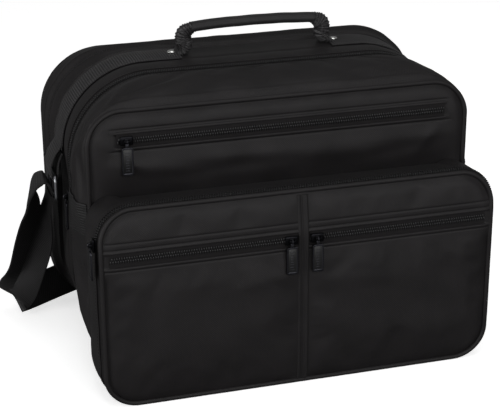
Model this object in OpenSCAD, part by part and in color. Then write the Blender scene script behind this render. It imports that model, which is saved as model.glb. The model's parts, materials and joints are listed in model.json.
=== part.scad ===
// Flight bag: soft shell bag with a box front pocket, carry handle and shoulder strap.
// X runs across the bag, Y from the pocket to the back, Z up. Millimetres.
// The origin is on the floor, under the middle of the bag.

/* [Bag shell] */
// Half width of the middle of the bag
body_hw = 201; // [190:1:215]
// Height of the arched middle strips
body_h = 296; // [280:1:310]
// Corner radius of the arched middle strips
body_r = 86; // [70:1:95]
// Half width of the main front panel
front_hw = 197; // [190:1:205]
// Height of the main front panel
front_h = 281; // [270:1:290]
// Top corner radius of the main front panel
front_r = 37; // [30:1:50]
// Half width of the back panel
back_hw = 205; // [195:1:210]
// Height of the back panel
back_h = 291; // [280:1:300]
// Corner radius of the back panel
back_r = 66; // [50:1:80]
// Thickness of the padded fabric walls
wall = 3; // [2:0.5:4]

/* [Front pocket] */
// Half width of the box pocket
pocket_hw = 200; // [190:1:205]
// Height of the box pocket
pocket_h = 206; // [190:1:215]
// Corner radius of the box pocket
pocket_r = 35; // [25:1:45]
// Depth of the box pocket
pocket_depth = 66; // [50:1:80]

/* [Zips] */
// Width of the zip chain
chain_w = 5; // [4:0.5:7]
// Height of the chain above its tape
chain_t = 2; // [1.5:0.1:3]
// Height of the pocket zips' chain
pocket_zip_z = 157; // [150:1:162]
// Height of the upper zip's chain
upper_zip_z = 251; // [245:1:256]
// Length of a pull tab
pull_len = 32; // [26:1:36]
// Width of a pull tab
pull_w = 11.5; // [9:0.5:13]

/* [Handle and strap] */
// Width of the webbing
webbing_w = 38; // [30:1:40]
// Sideways place of the middle of the handle
handle_x = 7; // [-10:1:10]
// Height of the middle of the grip
grip_z = 326.5; // [320:0.5:334]
// Half length of the grip
grip_hl = 71; // [60:1:75]
// Width of the shoulder strap
strap_w = 40; // [36:1:40]

/* [Hidden] */
$fn = 48;
hull_fn = 32;

// Where each strip of the shell starts, from front to back.
depth_hl = 135;
pocket_y = -depth_hl;
front_y = pocket_y + pocket_depth;
main_zip_y = 0;
tape_hw = 11;
strip_y = 37;
rear_y = strip_y + webbing_w;
back_y = depth_hl;
rear_zip_y = 103;
strap_y = (strip_y + rear_y) / 2;
skin = 0.2;

piping_r = 2.6;
front_rb = 50;
pocket_top_zip_y = pocket_y + 11;

// Zip windows: how far the tape shows above and below the chain.
window_up = 9;
window_down = 11;
pocket_zip_in = 6;
pocket_zip_out = 190;
upper_zip_left = -166;
upper_zip_right = 171;

// Sliders and pulls.
slider_long = 13;
slider_wide = 9;
slider_gap = 0.35;
pin_r = 0.8;
pin_gap = 0.05;
pin_out = 6.1;
pull_t = 1.8;
side_slider_z = 174;
rear_slider_z = 186;
pocket_top_slider_z = pocket_h - pocket_r;

// Handle and strap.
handle_axis_z = 303;
cord_r = 4;
rivet_hl = 90;
band_bottom_z = 182;
ring_r = 2;
ring_hw = 21;
ring_top_z = 182;
ring_low_z = 158;
ring_x = body_hw + 10;
loop_t = 1.9;
strap_t = 2.6;
strap_z = 24;
// Middle of the strap and the direction of its width, from the left ring to the middle.
strap_route = [
    [[-219, 56, 148], [0, 1, 0]],
    [[-221, 60, 130], [0, 1, 0.15]],
    [[-227, 71, 102], [-0.1, 0.9, 0.4]],
    [[-238, 87, 66], [-0.3, 0.7, 0.7]],
    [[-250, 102, 36], [-0.4, 0.4, 0.8]],
    [[-255, 111, 21], [-0.35, 0.2, 0.9]],
    [[-246, 116, 20.5], [-0.05, 0, 1]],
    [[-225, 124, 20.5], [0, 0, 1]],
    [[-200, 138, 21], [0, 0, 1]],
    [[-165, 158, 22], [0, 0, 1]],
    [[-125, 186, 23], [0, 0, 1]],
    [[-75, 210, strap_z], [0, 0, 1]],
    [[0, 222, strap_z], [0, 0, 1]]];

// Rounded outline of a section, standing on z = 0.
module outline(hw, h, rt, rb) {
    for (side = [-1, 1]) {
        translate([side * (hw - rt), h - rt]) circle(rt);
        translate([side * (hw - rb), rb]) circle(rb);
    }
    translate([rt - hw, rb]) square([2 * (hw - rt), h - rb]);
    translate([rb - hw, 0]) square([2 * (hw - rb), h - rt]);
    translate([-hw, rb]) square([2 * hw, h - rt - rb]);
}

// The same outline moved in by d on every side.
module inner_outline(hw, h, rt, rb, d) {
    translate([0, d]) outline(hw - d, h - 2 * d, rt - d, rb - d);
}

// Extrudes an outline from y0 back to y1.
module slab(y0, y1) {
    translate([0, y1, 0]) rotate([90, 0, 0]) linear_extrude(y1 - y0) children();
}

module body_ring(y0, y1, out, in) {
    slab(y0, y1) difference() {
        inner_outline(body_hw, body_h, body_r, body_r, -out);
        inner_outline(body_hw, body_h, body_r, body_r, in);
    }
}

// Keeps what is above a height.
module above(z) {
    intersection() {
        children();
        translate([-300, -200, z]) cube([600, 400, 400]);
    }
}

module below(z) {
    intersection() {
        children();
        translate([-300, -200, -50]) cube([600, 400, z + 50]);
    }
}

// Round piping along an outline: straight runs and quarter bends.
module piping_loop(hw, h, rt, rb, y) {
    for (side = [-1, 1]) {
        translate([side * hw, y, rb]) cylinder(r = piping_r, h = h - rt - rb);
        for (end = [[h - rt, rt, 1], [rb, rb, -1]])
            translate([side * (hw - end[1]), y, end[0]])
                rotate([90, 0, 0])
                    mirror([side < 0 ? 1 : 0, 0, 0])
                        mirror([0, end[2] < 0 ? 1 : 0, 0])
                            rotate_extrude(angle = 90) translate([end[1], 0]) circle(piping_r);
    }
    translate([rt - hw, y, h]) rotate([0, 90, 0]) cylinder(r = piping_r, h = 2 * (hw - rt));
    translate([rb - hw, y, 0]) rotate([0, 90, 0]) cylinder(r = piping_r, h = 2 * (hw - rb));
}

// Shell between two different outlines.
module lofted_ring(y0, y1, from, to) {
    difference() {
        loft(y0, y1, from, to, 0);
        loft(y0 - 1, y1 + 1, from, to, wall);
    }
}

module loft(y0, y1, from, to, d) {
    hull($fn = hull_fn) {
        slab(y0, y0 + 0.5) inner_outline(from[0], from[1], from[2], from[3], d);
        slab(y1 - 0.5, y1) inner_outline(to[0], to[1], to[2], to[3], d);
    }
}

front_section = [front_hw, front_h, front_r, front_rb];
body_section = [body_hw, body_h, body_r, body_r];
back_section = [back_hw, back_h, back_r, back_r];

// ---- shell ----

module base_panel() {
    color("#1b1b1c")
        translate([-110, front_y + 6, wall + skin])
            cube([220, back_y - front_y - 12, 3]);
}

module base_board() {
    color("#3a3632")
        translate([-106, front_y + 10, wall + 3 + 2 * skin])
            cube([212, back_y - front_y - 20, 2]);
}

module back_panel() {
    color("#1b1b1c")
        slab(back_y - wall, back_y)
            inner_outline(back_hw, back_h, back_r, back_r, 2 * piping_r);
}

module divider_panel() {
    color("#242425")
        slab(rear_y + 1, rear_y + 4)
            inner_outline(body_hw, body_h, body_r, body_r, wall + 6);
}

module main_lining() {
    color("#4a4a4c")
        slab(front_y + 32, rear_y) difference() {
            inner_outline(body_hw, body_h, body_r, body_r, wall + 10);
            inner_outline(body_hw, body_h, body_r, body_r, wall + 11);
        }
}

module slip_pocket() {
    color("#4a4a4c")
        translate([-120, rear_y - 3, 40]) cube([240, 2, 130]);
}

module front_panel() {
    color("#1b1b1c") difference() {
        slab(front_y, front_y + wall)
            inner_outline(front_hw, front_h, front_r, front_rb, 2 * piping_r);
        zip_window(front_y, upper_zip_z, upper_zip_left, upper_zip_right);
    }
}

module front_pocket_bag() {
    color("#4a4a4c")
        translate([upper_zip_left, front_y + wall + 1, 130])
            cube([upper_zip_right - upper_zip_left, 2, 125]);
}

module front_gusset() {
    color("#1d1d1e")
        lofted_ring(front_y + wall + 2.4, main_zip_y - tape_hw, front_section, body_section);
}

module main_zip_tape() {
    color("#151516") body_ring(main_zip_y - tape_hw, main_zip_y + tape_hw, 0, 2);
}

module main_zip_chain() {
    color("#0f0f10")
        above(side_slider_z - 12)
            body_ring(main_zip_y - chain_w / 2, main_zip_y + chain_w / 2, chain_t, 0);
}

module zip_strip() {
    color("#1d1d1e") body_ring(main_zip_y + tape_hw, strip_y, 0, wall);
}

module centre_strip() {
    color("#1d1d1e") body_ring(strip_y, rear_y, 0, wall);
}

module rear_gusset() {
    color("#1d1d1e")
        lofted_ring(rear_y, back_y - wall - 2.4, body_section, back_section);
}

// The rear zip lies on the sloping rear gusset, so it follows a section part of the way back.
rear_share = (rear_zip_y - rear_y) / (back_y - wall - 2.4 - rear_y);
rear_hw = body_hw + rear_share * (back_hw - body_hw);
rear_h = body_h + rear_share * (back_h - body_h);
rear_r = body_r + rear_share * (back_r - body_r);

module rear_zip_chain() {
    color("#0f0f10")
        above(rear_slider_z - 12)
            slab(rear_zip_y - chain_w / 2, rear_zip_y + chain_w / 2) difference() {
                inner_outline(rear_hw, rear_h, rear_r, rear_r, -chain_t);
                inner_outline(rear_hw, rear_h, rear_r, rear_r, -0.3);
            }
}

module front_piping() {
    color("#202021")
        translate([0, 0, piping_r])
            piping_loop(front_hw - piping_r, front_h - 2 * piping_r, front_r - piping_r,
                front_rb - piping_r, front_y + wall - 0.5);
}

module back_piping() {
    color("#202021")
        translate([0, 0, piping_r])
            piping_loop(back_hw - piping_r, back_h - 2 * piping_r, back_r - piping_r,
                back_r - piping_r, back_y - wall + 0.5);
}

// ---- front pocket ----

module zip_window(y, z, x0, x1) {
    translate([x0, y - 1, z - window_down]) cube([x1 - x0, wall + 2, window_up + window_down]);
}

module pocket_panel() {
    color("#1b1b1c") difference() {
        slab(pocket_y, pocket_y + wall)
            inner_outline(pocket_hw, pocket_h, pocket_r, pocket_r, 2 * piping_r);
        zip_window(pocket_y, pocket_zip_z, -pocket_zip_out, -pocket_zip_in);
        zip_window(pocket_y, pocket_zip_z, pocket_zip_in, pocket_zip_out);
    }
}

module pocket_band() {
    color("#1f1f20")
        translate([-5.5, pocket_y - 1, 6]) cube([11, 1, pocket_h - 12]);
}

pocket_ring_y = pocket_y + wall + 2.4;

module pocket_ring(y0, y1, out, in) {
    slab(y0, y1) difference() {
        inner_outline(pocket_hw, pocket_h, pocket_r, pocket_r, -out);
        inner_outline(pocket_hw, pocket_h, pocket_r, pocket_r, in);
    }
}

module pocket_gusset() {
    color("#1d1d1e") {
        pocket_ring(pocket_top_zip_y + 7, front_y - 0.3, 0, wall);
        below(pocket_top_slider_z - 14)
            pocket_ring(pocket_ring_y, pocket_top_zip_y + 7, 0, wall);
    }
}

module pocket_top_zip_tape() {
    color("#151516")
        above(pocket_top_slider_z - 14)
            pocket_ring(pocket_ring_y, pocket_top_zip_y + 7, 0, 2);
}

module pocket_top_zip_chain() {
    color("#0f0f10")
        above(pocket_top_slider_z - 10)
            pocket_ring(pocket_top_zip_y - chain_w / 2, pocket_top_zip_y + chain_w / 2, chain_t, 0);
}

module pocket_piping() {
    color("#202021")
        translate([0, 0, piping_r])
            piping_loop(pocket_hw - piping_r, pocket_h - 2 * piping_r, pocket_r - piping_r,
                pocket_r - piping_r, pocket_y + wall - 0.5);
}

// A zip let into a window of a panel: tape behind, chain in front.
module flat_zip(y, z, x0, x1) {
    color("#151516") {
        translate([x0, y + 1.2, z - window_down])
            cube([x1 - x0, 0.8, window_up + window_down]);
        translate([x0, y + 1.2 - chain_t, z - chain_w / 2]) cube([x1 - x0, chain_t, chain_w]);
    }
}

module left_pocket_zip() {
    flat_zip(pocket_y, pocket_zip_z, -pocket_zip_out, -pocket_zip_in);
}

module right_pocket_zip() {
    flat_zip(pocket_y, pocket_zip_z, pocket_zip_in, pocket_zip_out);
}

module upper_zip() {
    flat_zip(front_y, upper_zip_z, upper_zip_left, upper_zip_right);
}

// ---- webbing, rings and handle roots ----

// Ribbed patch that reinforces the lower side of the front gusset.
module rib_patch(side) {
    color("#262627")
        translate([side > 0 ? body_hw + skin : -body_hw - skin - 1.2, -62, 140])
            cube([1.2, 48, 48]);
}

module left_rib_patch() {
    rib_patch(-1);
}

module right_rib_patch() {
    rib_patch(1);
}

// Webbing over the corner, from the handle rivet down to the strap ring.
module webbing_band(side) {
    end_x = handle_x + side * (rivet_hl + 2);
    color("#2a2a2b") intersection() {
        body_ring(strip_y + 0.5, rear_y - 0.5, 1.6, -skin);
        translate([side > 0 ? end_x : -300, 0, band_bottom_z])
            cube([side > 0 ? 300 : 300 + end_x, 100, 200]);
    }
}

module left_webbing_band() {
    webbing_band(-1);
}

module right_webbing_band() {
    webbing_band(1);
}

// Webbing folded round a bar of the ring; the tail runs from the bar.
module bar_loop(x, z, tail, tilt) {
    translate([x, strap_y + webbing_w / 2 - 1, z]) rotate([90, 0, 0])
        linear_extrude(webbing_w - 2) difference() {
            union() {
                circle(ring_r + 0.3 + loop_t);
                rotate(tilt) translate([-loop_t - 0.6, 0]) square([2 * loop_t + 1.2, tail]);
            }
            circle(ring_r + 0.3);
        }
}

module left_anchor_loop() {
    color("#2a2a2b") bar_loop(-ring_x, ring_top_z, 17, -20);
}

module right_anchor_loop() {
    color("#2a2a2b") bar_loop(ring_x, ring_top_z, 17, 20);
}

module strap_ring(x) {
    color("#54565a") {
        for (z = [ring_low_z, ring_top_z])
            translate([x, strap_y - ring_hw, z]) rotate([-90, 0, 0])
                cylinder(r = ring_r, h = 2 * ring_hw);
        for (y = [strap_y - ring_hw, strap_y + ring_hw]) {
            translate([x, y, ring_low_z]) cylinder(r = ring_r, h = ring_top_z - ring_low_z);
            for (z = [ring_low_z, ring_top_z]) translate([x, y, z]) sphere(ring_r);
        }
    }
}

module left_strap_ring() {
    strap_ring(-ring_x);
}

module right_strap_ring() {
    strap_ring(ring_x);
}

module left_strap_end() {
    color("#2a2a2b") bar_loop(-ring_x, ring_low_z, 14, 180);
}

module right_strap_end() {
    color("#2a2a2b") bar_loop(ring_x, ring_low_z, 14, 180);
}

module handle_tabs() {
    color("#2a2a2b")
        for (side = [-1, 1])
            translate([handle_x + side * (rivet_hl - 7) - 9, strap_y - 10, body_h + skin])
                cube([18, 20, 1.8]);
}

module handle_rivets() {
    color("#c9cbce")
        for (side = [-1, 1])
            translate([handle_x + side * (rivet_hl - 4), strap_y, body_h + 2]) {
                cylinder(r = 4.2, h = 0.8);
                translate([0, 0, 0.8]) cylinder(r1 = 3.6, r2 = 2.2, h = 0.8);
            }
}

// ---- handle ----

module handle_webbing() {
    foot = grip_hl + 8;
    color("#2a2a2b")
        for (side = [-1, 1])
            hull($fn = 16) {
                translate([handle_x + side * foot, strap_y, handle_axis_z]) sphere(cord_r);
                translate([handle_x + side * (grip_hl - 4), strap_y, grip_z - 1]) sphere(cord_r - 0.6);
            }
}

// Sleeve over the folded webbing, slightly arched.
module handle_grip() {
    color("#171718")
        hull($fn = 16)
            for (spot = [[-1, -1.5], [-0.4, 0], [0.4, 0], [1, -1.5]])
                translate([handle_x + spot[0] * (grip_hl - 3), strap_y, grip_z + spot[1]])
                    for (y = [-2.5, 2.5]) translate([0, y, 0]) sphere(3.8);
}

// ---- shoulder strap ----

// The right half of the route mirrors the left half.
strap_count = len(strap_route);
strap_path = [for (i = [0 : 2 * strap_count - 2])
    i < strap_count
        ? strap_route[i]
        : let (s = strap_route[2 * strap_count - 2 - i])
            [[-s[0][0], s[0][1], s[0][2]], [-s[1][0], s[1][1], s[1][2]]]];

function unit(v) = v / norm(v);

// Corners of the strap's section at one place on its route.
function strap_section(i) =
    let (last = len(strap_path) - 1,
        along = unit(strap_path[min(i + 1, last)][0] - strap_path[max(i - 1, 0)][0]),
        across = unit(strap_path[i][1] - (strap_path[i][1] * along) * along),
        up = cross(along, across),
        c = strap_path[i][0], a = across * strap_w / 2, t = up * strap_t / 2)
    [c + a + t, c - a + t, c - a - t, c + a - t];

module shoulder_strap() {
    rings = len(strap_path);
    points = [for (i = [0 : rings - 1]) each strap_section(i)];
    sides = [for (i = [0 : rings - 2], k = [0 : 3])
        [4 * i + k, 4 * i + (k + 1) % 4, 4 * i + 4 + (k + 1) % 4, 4 * i + 4 + k]];
    last = 4 * (rings - 1);
    color("#232324")
        polyhedron(points, concat([[3, 2, 1, 0]], sides, [[last, last + 1, last + 2, last + 3]]));
}

// Flat slide with two slots that the strap passes through.
adjuster_at = 11;
module strap_adjuster() {
    here = strap_path[adjuster_at][0];
    next = strap_path[adjuster_at + 1][0];
    color("#1a1a1a")
        translate((here + next) / 2)
            rotate([0, 0, atan2(next[1] - here[1], next[0] - here[0])])
                difference() {
                    cube([26, 5, strap_w + 8], center = true);
                    cube([40, strap_t + 0.8, strap_w + 1], center = true);
                    for (x = [-6.5, 6.5])
                        translate([x, 0, 0]) cube([8, 8, strap_w + 1], center = true);
                }
}

// ---- sliders and pulls ----

// Slider facing -Y with its pin at the origin's height; the chain passes behind it.
// A crosswise slider runs on an upright chain.
module slider(upright) {
    u = upright ? slider_wide : slider_long;
    v = upright ? slider_long : slider_wide;
    base = -chain_t - slider_gap;
    color("#46484b") {
        difference() {
            translate([-u / 2, base - 1.3, -v / 2]) cube([u, 1.3 + chain_t - 0.3, v]);
            if (upright)
                translate([-chain_w / 2 - slider_gap, base, -v])
                    cube([chain_w + 2 * slider_gap, 5, 2 * v]);
            else
                translate([-u, base, -chain_w / 2 - slider_gap])
                    cube([2 * u, 5, chain_w + 2 * slider_gap]);
        }
        for (side = [-1, 1])
            translate([side * 2.6 - 0.7, -pin_out - 1.4, -1.6])
                cube([1.4, pin_out + 1.4 + base - 1.2, 3.2]);
        translate([-2.6, -pin_out, 0]) rotate([0, 90, 0]) cylinder(r = pin_r, h = 5.2);
    }
}

// Pull tab hanging from the pin, with its eye at the top.
module pull() {
    eye_r = 2;
    color("#46484b")
        translate([0, -pin_out, 0]) difference() {
            union() {
                translate([-1.5, 0, 0]) rotate([0, 90, 0]) cylinder(r = eye_r, h = 3);
                translate([-1.5, -pull_t / 2, -6]) cube([3, pull_t, 6]);
                translate([-pull_w / 2, -pull_t / 2, -pull_len])
                    cube([pull_w, pull_t, pull_len - 5.5]);
            }
            translate([-4, 0, 0]) rotate([0, 90, 0]) cylinder(r = pin_r + pin_gap, h = 8);
            translate([-2.8, -4, -pull_len + 2.5]) cube([5.6, 8, 1.6]);
        }
}

upper_slider_x = -157;
pocket_slider_x = 13;
panel_tape = 1.2;

module at_upper() {
    translate([upper_slider_x, front_y + panel_tape, upper_zip_z]) children();
}

module at_pocket(side) {
    translate([side * pocket_slider_x, pocket_y + panel_tape, pocket_zip_z]) children();
}

// Turns a piece that faces -Y so that it faces -X on the left side of the bag.
module at_side(x, y, z) {
    translate([x, y, z]) rotate([0, 0, -90]) children();
}

module upper_slider() {
    at_upper() slider(false);
}

module upper_pull() {
    at_upper() pull();
}

module left_pocket_slider() {
    at_pocket(-1) slider(false);
}

module left_pocket_pull() {
    at_pocket(-1) pull();
}

module right_pocket_slider() {
    at_pocket(1) slider(false);
}

module right_pocket_pull() {
    at_pocket(1) pull();
}

module pocket_top_slider() {
    at_side(-pocket_hw, pocket_top_zip_y, pocket_top_slider_z) slider(true);
}

module pocket_top_pull() {
    at_side(-pocket_hw, pocket_top_zip_y, pocket_top_slider_z) pull();
}

module main_slider() {
    at_side(-body_hw, main_zip_y, side_slider_z) slider(true);
}

module main_pull() {
    at_side(-body_hw, main_zip_y, side_slider_z) pull();
}

module rear_slider() {
    at_side(-rear_hw - 0.3, rear_zip_y, rear_slider_z) slider(true);
}

module rear_pull() {
    at_side(-rear_hw - 0.3, rear_zip_y, rear_slider_z) pull();
}

base_panel();
base_board();
back_panel();
divider_panel();
main_lining();
slip_pocket();
front_panel();
front_pocket_bag();
front_gusset();
main_zip_tape();
main_zip_chain();
zip_strip();
centre_strip();
rear_gusset();
rear_zip_chain();
front_piping();
back_piping();
pocket_panel();
pocket_band();
pocket_gusset();
pocket_top_zip_tape();
pocket_top_zip_chain();
pocket_piping();
left_pocket_zip();
right_pocket_zip();
upper_zip();
left_rib_patch();
right_rib_patch();
left_webbing_band();
right_webbing_band();
left_anchor_loop();
right_anchor_loop();
left_strap_ring();
right_strap_ring();
left_strap_end();
right_strap_end();
handle_tabs();
handle_rivets();
handle_webbing();
handle_grip();
shoulder_strap();
strap_adjuster();
upper_slider();
upper_pull();
left_pocket_slider();
left_pocket_pull();
right_pocket_slider();
right_pocket_pull();
pocket_top_slider();
pocket_top_pull();
main_slider();
main_pull();
rear_slider();
rear_pull();
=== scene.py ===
import json
import math
from collections import namedtuple

import bpy
from mathutils import Matrix, Vector, noise

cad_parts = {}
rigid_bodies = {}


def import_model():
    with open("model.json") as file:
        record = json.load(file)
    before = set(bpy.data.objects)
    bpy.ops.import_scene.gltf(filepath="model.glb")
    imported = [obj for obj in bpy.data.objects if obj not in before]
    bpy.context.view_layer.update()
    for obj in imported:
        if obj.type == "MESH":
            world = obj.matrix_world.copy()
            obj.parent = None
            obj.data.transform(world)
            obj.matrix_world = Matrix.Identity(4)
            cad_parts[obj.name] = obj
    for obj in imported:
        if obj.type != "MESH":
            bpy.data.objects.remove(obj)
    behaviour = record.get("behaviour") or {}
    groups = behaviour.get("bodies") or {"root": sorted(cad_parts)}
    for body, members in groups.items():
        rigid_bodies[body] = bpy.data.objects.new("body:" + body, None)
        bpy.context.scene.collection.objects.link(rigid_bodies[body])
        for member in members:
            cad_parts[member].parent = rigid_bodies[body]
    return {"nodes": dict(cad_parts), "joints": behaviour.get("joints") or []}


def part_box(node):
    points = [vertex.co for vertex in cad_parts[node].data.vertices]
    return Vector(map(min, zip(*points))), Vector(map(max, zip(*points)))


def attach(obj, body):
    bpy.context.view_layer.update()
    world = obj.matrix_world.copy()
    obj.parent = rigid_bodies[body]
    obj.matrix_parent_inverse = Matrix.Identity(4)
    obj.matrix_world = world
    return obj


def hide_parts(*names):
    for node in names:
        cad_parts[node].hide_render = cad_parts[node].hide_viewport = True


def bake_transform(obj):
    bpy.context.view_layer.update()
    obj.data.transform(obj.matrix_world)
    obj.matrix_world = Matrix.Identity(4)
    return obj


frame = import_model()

bl_info = {
    "name": "Flight Bag",
    "version": (1, 0, 0),
    "blender": (4, 5, 0),
    "location": "View3D > Sidebar > Flight Bag",
    "description": "Sews the cloth, webbing, zips and metal of a flight bag onto its packed frame",
    "category": "Add Mesh",
}

# X runs across the bag, Y from the pocket to the back, Z up. Lengths in the code are millimetres,
# and MM turns them into Blender's metres as each mesh is made.
MM = 0.001


def box_mm(node):
    """Lowest and highest corner of a CAD node, in millimetres."""
    low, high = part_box(node)
    return low / MM, high / MM


def joint_mm(name):
    """Where a hinge of the frame is, in millimetres."""
    found = next(j for j in frame["joints"] if j["name"] == name)
    return Vector(found["pos_m"]) / MM


# ---- the bag's measures, from the frame ----

def middle_y(node):
    low, high = box_mm(node)
    return (low.y + high.y) / 2


FRONT_Y = box_mm("front_panel")[0].y
BACK_Y = box_mm("back_panel")[1].y
POCKET_Y = box_mm("pocket_panel")[0].y
STRIP_Y, REAR_Y = (corner.y for corner in box_mm("centre_strip"))
TAPE_Y = tuple(corner.y for corner in box_mm("main_zip_tape"))
MAIN_ZIP_Y, REAR_ZIP_Y = sum(TAPE_Y) / 2, middle_y("rear_zip_chain")
POCKET_ZIP_Y = middle_y("pocket_top_zip_chain")
BAND_Y = (STRIP_Y + REAR_Y) / 2
POCKET_ZIP_Z = joint_mm("left_pocket_zip_tab_swing").z
UPPER_ZIP_Z = joint_mm("upper_zip_tab_swing").z
UPPER_ZIP_X = tuple(corner.x for corner in box_mm("upper_zip"))
POCKET_ZIP_X = ((-190, -6), (6, 190))    # each straight zip of the pocket, from end to end
PIPING_R = (box_mm("front_piping")[1].y - box_mm("front_piping")[0].y) / 2
PIN_OUT = 6.1            # from a slider's back to its pin
CLOTH_IN = 2.6           # the strips' edges hide this far inside the piping
SEAM = 3.4               # and the panels' edges this far

# A section of the shell: half its width, its height, and its upper and lower corner radii.
Section = namedtuple("Section", "half height top_r low_r")


def section_of(node, top_r, low_r):
    high = box_mm(node)[1]
    return Section(high.x, high.z, top_r, low_r)


FRONT = section_of("front_piping", 37, 50)
BODY = section_of("centre_strip", 86, 86)
BACK = section_of("back_piping", 66, 66)
BACK = BACK._replace(half=BACK.half + 3.5)    # its cord bows out between the corners
POCKET = section_of("pocket_piping", 35, 35)


# ---- settings ----

def length_setting(name, about, default, low, high):
    return bpy.props.FloatProperty(name=name, description=about, default=default, min=low, max=high,
                                   subtype="DISTANCE", unit="LENGTH")


def colour_setting(name, about, default):
    return bpy.props.StringProperty(name=name, description=about, default=default)


class FlightBagSizes(bpy.types.PropertyGroup):
    """Sizes of the soft parts that the frame leaves open."""

    gusset_puff: length_setting("Gusset puff", "How far the soft sides swell between their seams",
                                0.006, 0.0, 0.012)
    panel_puff: length_setting("Panel puff", "How far the front panels swell between their seams",
                               0.007, 0.0, 0.012)
    cloth: length_setting("Cloth", "Thickness of the coated cloth", 0.0014, 0.0006, 0.003)
    stitch_pitch: length_setting("Stitch pitch", "From one stitch to the next", 0.0034, 0.002, 0.006)
    rib_pitch: length_setting("Rib pitch", "From one cross rib of the webbing to the next",
                              0.0027, 0.0012, 0.004)
    tooth_pitch: length_setting("Tooth pitch", "From one coil of the zip to the next on its side",
                                0.0024, 0.0015, 0.004)


class FlightBagColours(bpy.types.PropertyGroup):
    """Colours as sRGB hex values."""

    cloth: colour_setting("Cloth", "Black polyester pack cloth", "#141213")
    webbing: colour_setting("Webbing", "Ribbed webbing", "#302f30")
    tape: colour_setting("Zip tape", "Woven zip tape", "#121011")
    coil: colour_setting("Zip coil", "Nylon zip coil", "#161617")
    thread: colour_setting("Thread", "Sewing thread", "#050505")
    gunmetal: colour_setting("Gunmetal", "Dark plated zinc of the sliders", "#343438")
    nickel: colour_setting("Nickel", "Plated rivets", "#d9d9d6")
    lining: colour_setting("Lining", "Grey lining", "#4b4c50")
    floor: colour_setting("Floor", "Studio floor", "#f4f4f4")


def sizes():
    return bpy.context.scene.flight_bag_sizes


def colours():
    return bpy.context.scene.flight_bag_colours


def rib_pitch():
    return sizes().rib_pitch / MM


# ---- mesh helpers ----

def deselect_all():
    if bpy.context.mode != "OBJECT":
        bpy.ops.object.mode_set(mode="OBJECT")
    bpy.ops.object.select_all(action="DESELECT")


def pick(piece):
    """Makes a piece the only selected one."""
    deselect_all()
    piece.select_set(True)
    bpy.context.view_layer.objects.active = piece


def in_edit_mode(piece, *steps):
    """Runs edit-mode steps on all of a piece."""
    pick(piece)
    bpy.ops.object.mode_set(mode="EDIT")
    bpy.ops.mesh.select_all(action="SELECT")
    for step in steps:
        step()
    bpy.ops.object.mode_set(mode="OBJECT")


def on_some(piece, kind, choose, *steps):
    """Runs edit-mode steps on the parts of a piece that choose() selects."""
    in_edit_mode(piece, lambda: bpy.ops.mesh.select_all(action="DESELECT"),
                 lambda: bpy.ops.mesh.select_mode(type=kind), choose, *steps,
                 lambda: bpy.ops.mesh.select_mode(type="VERT"))


def on_open_edges(piece, step):
    on_some(piece, "EDGE", lambda: bpy.ops.mesh.select_non_manifold(extend=False), step)


def weld(piece):
    in_edit_mode(piece, lambda: bpy.ops.mesh.remove_doubles(threshold=0.02 * MM))


def face_outwards(piece):
    in_edit_mode(piece, lambda: bpy.ops.mesh.normals_make_consistent(inside=False))


def apply_modifier(piece, kind, **settings):
    pick(piece)
    made = piece.modifiers.new(kind.title(), kind)
    for name, value in settings.items():
        setattr(made, name, value)
    bpy.ops.object.modifier_apply(modifier=made.name)


def smooth(piece, degrees):
    pick(piece)
    bpy.ops.object.shade_smooth_by_angle(angle=math.radians(degrees))


def join(name, pieces):
    """Joins pieces into one mesh."""
    pick(pieces[0])
    for other in pieces[1:]:
        other.select_set(True)
    if len(pieces) > 1:
        bpy.ops.object.join()
    made = bpy.context.view_layer.objects.active
    made.name = name
    made.data.name = name
    return made


def settle_at_origin(piece):
    """Puts a piece's place into its mesh."""
    pick(piece)
    bpy.ops.object.transform_apply(location=True, rotation=True, scale=True)


def grid_piece(name, columns, rows, place, chart=None):
    """A grid whose points go where place(u, v) says; chart(u, v) gives its cloth coordinates."""
    deselect_all()
    bpy.ops.mesh.primitive_grid_add(x_subdivisions=columns, y_subdivisions=rows, size=1)
    piece = bpy.context.object
    piece.name = name
    piece.data.name = name
    spots = [(round((p.co.x + 0.5) * columns) / columns, round((p.co.y + 0.5) * rows) / rows)
             for p in piece.data.vertices]
    for point, (u, v) in zip(piece.data.vertices, spots):
        point.co = Vector(place(u, v)) * MM
    if chart:
        chart_layer = piece.data.uv_layers.active.data
        for loop in piece.data.loops:
            chart_layer[loop.index].uv = [c * MM for c in chart(*spots[loop.vertex_index])]
    return piece


def block(name, size, at, bevel=0.3, segments=2):
    """A bevelled block, in millimetres."""
    deselect_all()
    bpy.ops.mesh.primitive_cube_add(size=1, location=Vector(at) * MM)
    piece = bpy.context.object
    piece.name = name
    piece.scale = Vector(size) * MM
    settle_at_origin(piece)
    if bevel:
        apply_modifier(piece, "BEVEL", width=bevel * MM, segments=segments, limit_method="ANGLE")
    return piece


def thickened(piece, degrees, thick=None, offset=-1):
    """Gives cloth its thickness and smooths its shading."""
    apply_modifier(piece, "SOLIDIFY", thickness=thick or sizes().cloth, offset=offset)
    smooth(piece, degrees)


def copies(name, pattern, places):
    """One mesh that holds a copy of the pattern's mesh at each place, a 4x4 matrix."""
    points = [p.co.copy() for p in pattern.data.vertices]
    faces = [tuple(f.vertices) for f in pattern.data.polygons]
    all_points, all_faces = [], []
    for place in places:
        start = len(all_points)
        all_points += [place @ p for p in points]
        all_faces += [tuple(start + i for i in face) for face in faces]
    mesh = bpy.data.meshes.new(name)
    mesh.from_pydata(all_points, [], all_faces)
    mesh.update()
    made = bpy.data.objects.new(name, mesh)
    bpy.context.scene.collection.objects.link(made)
    bpy.data.objects.remove(pattern)
    return made


def cover(piece, look):
    """Gives a piece one of the finishes."""
    piece.data.materials.clear()
    piece.data.materials.append(FINISHES[look])


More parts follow.
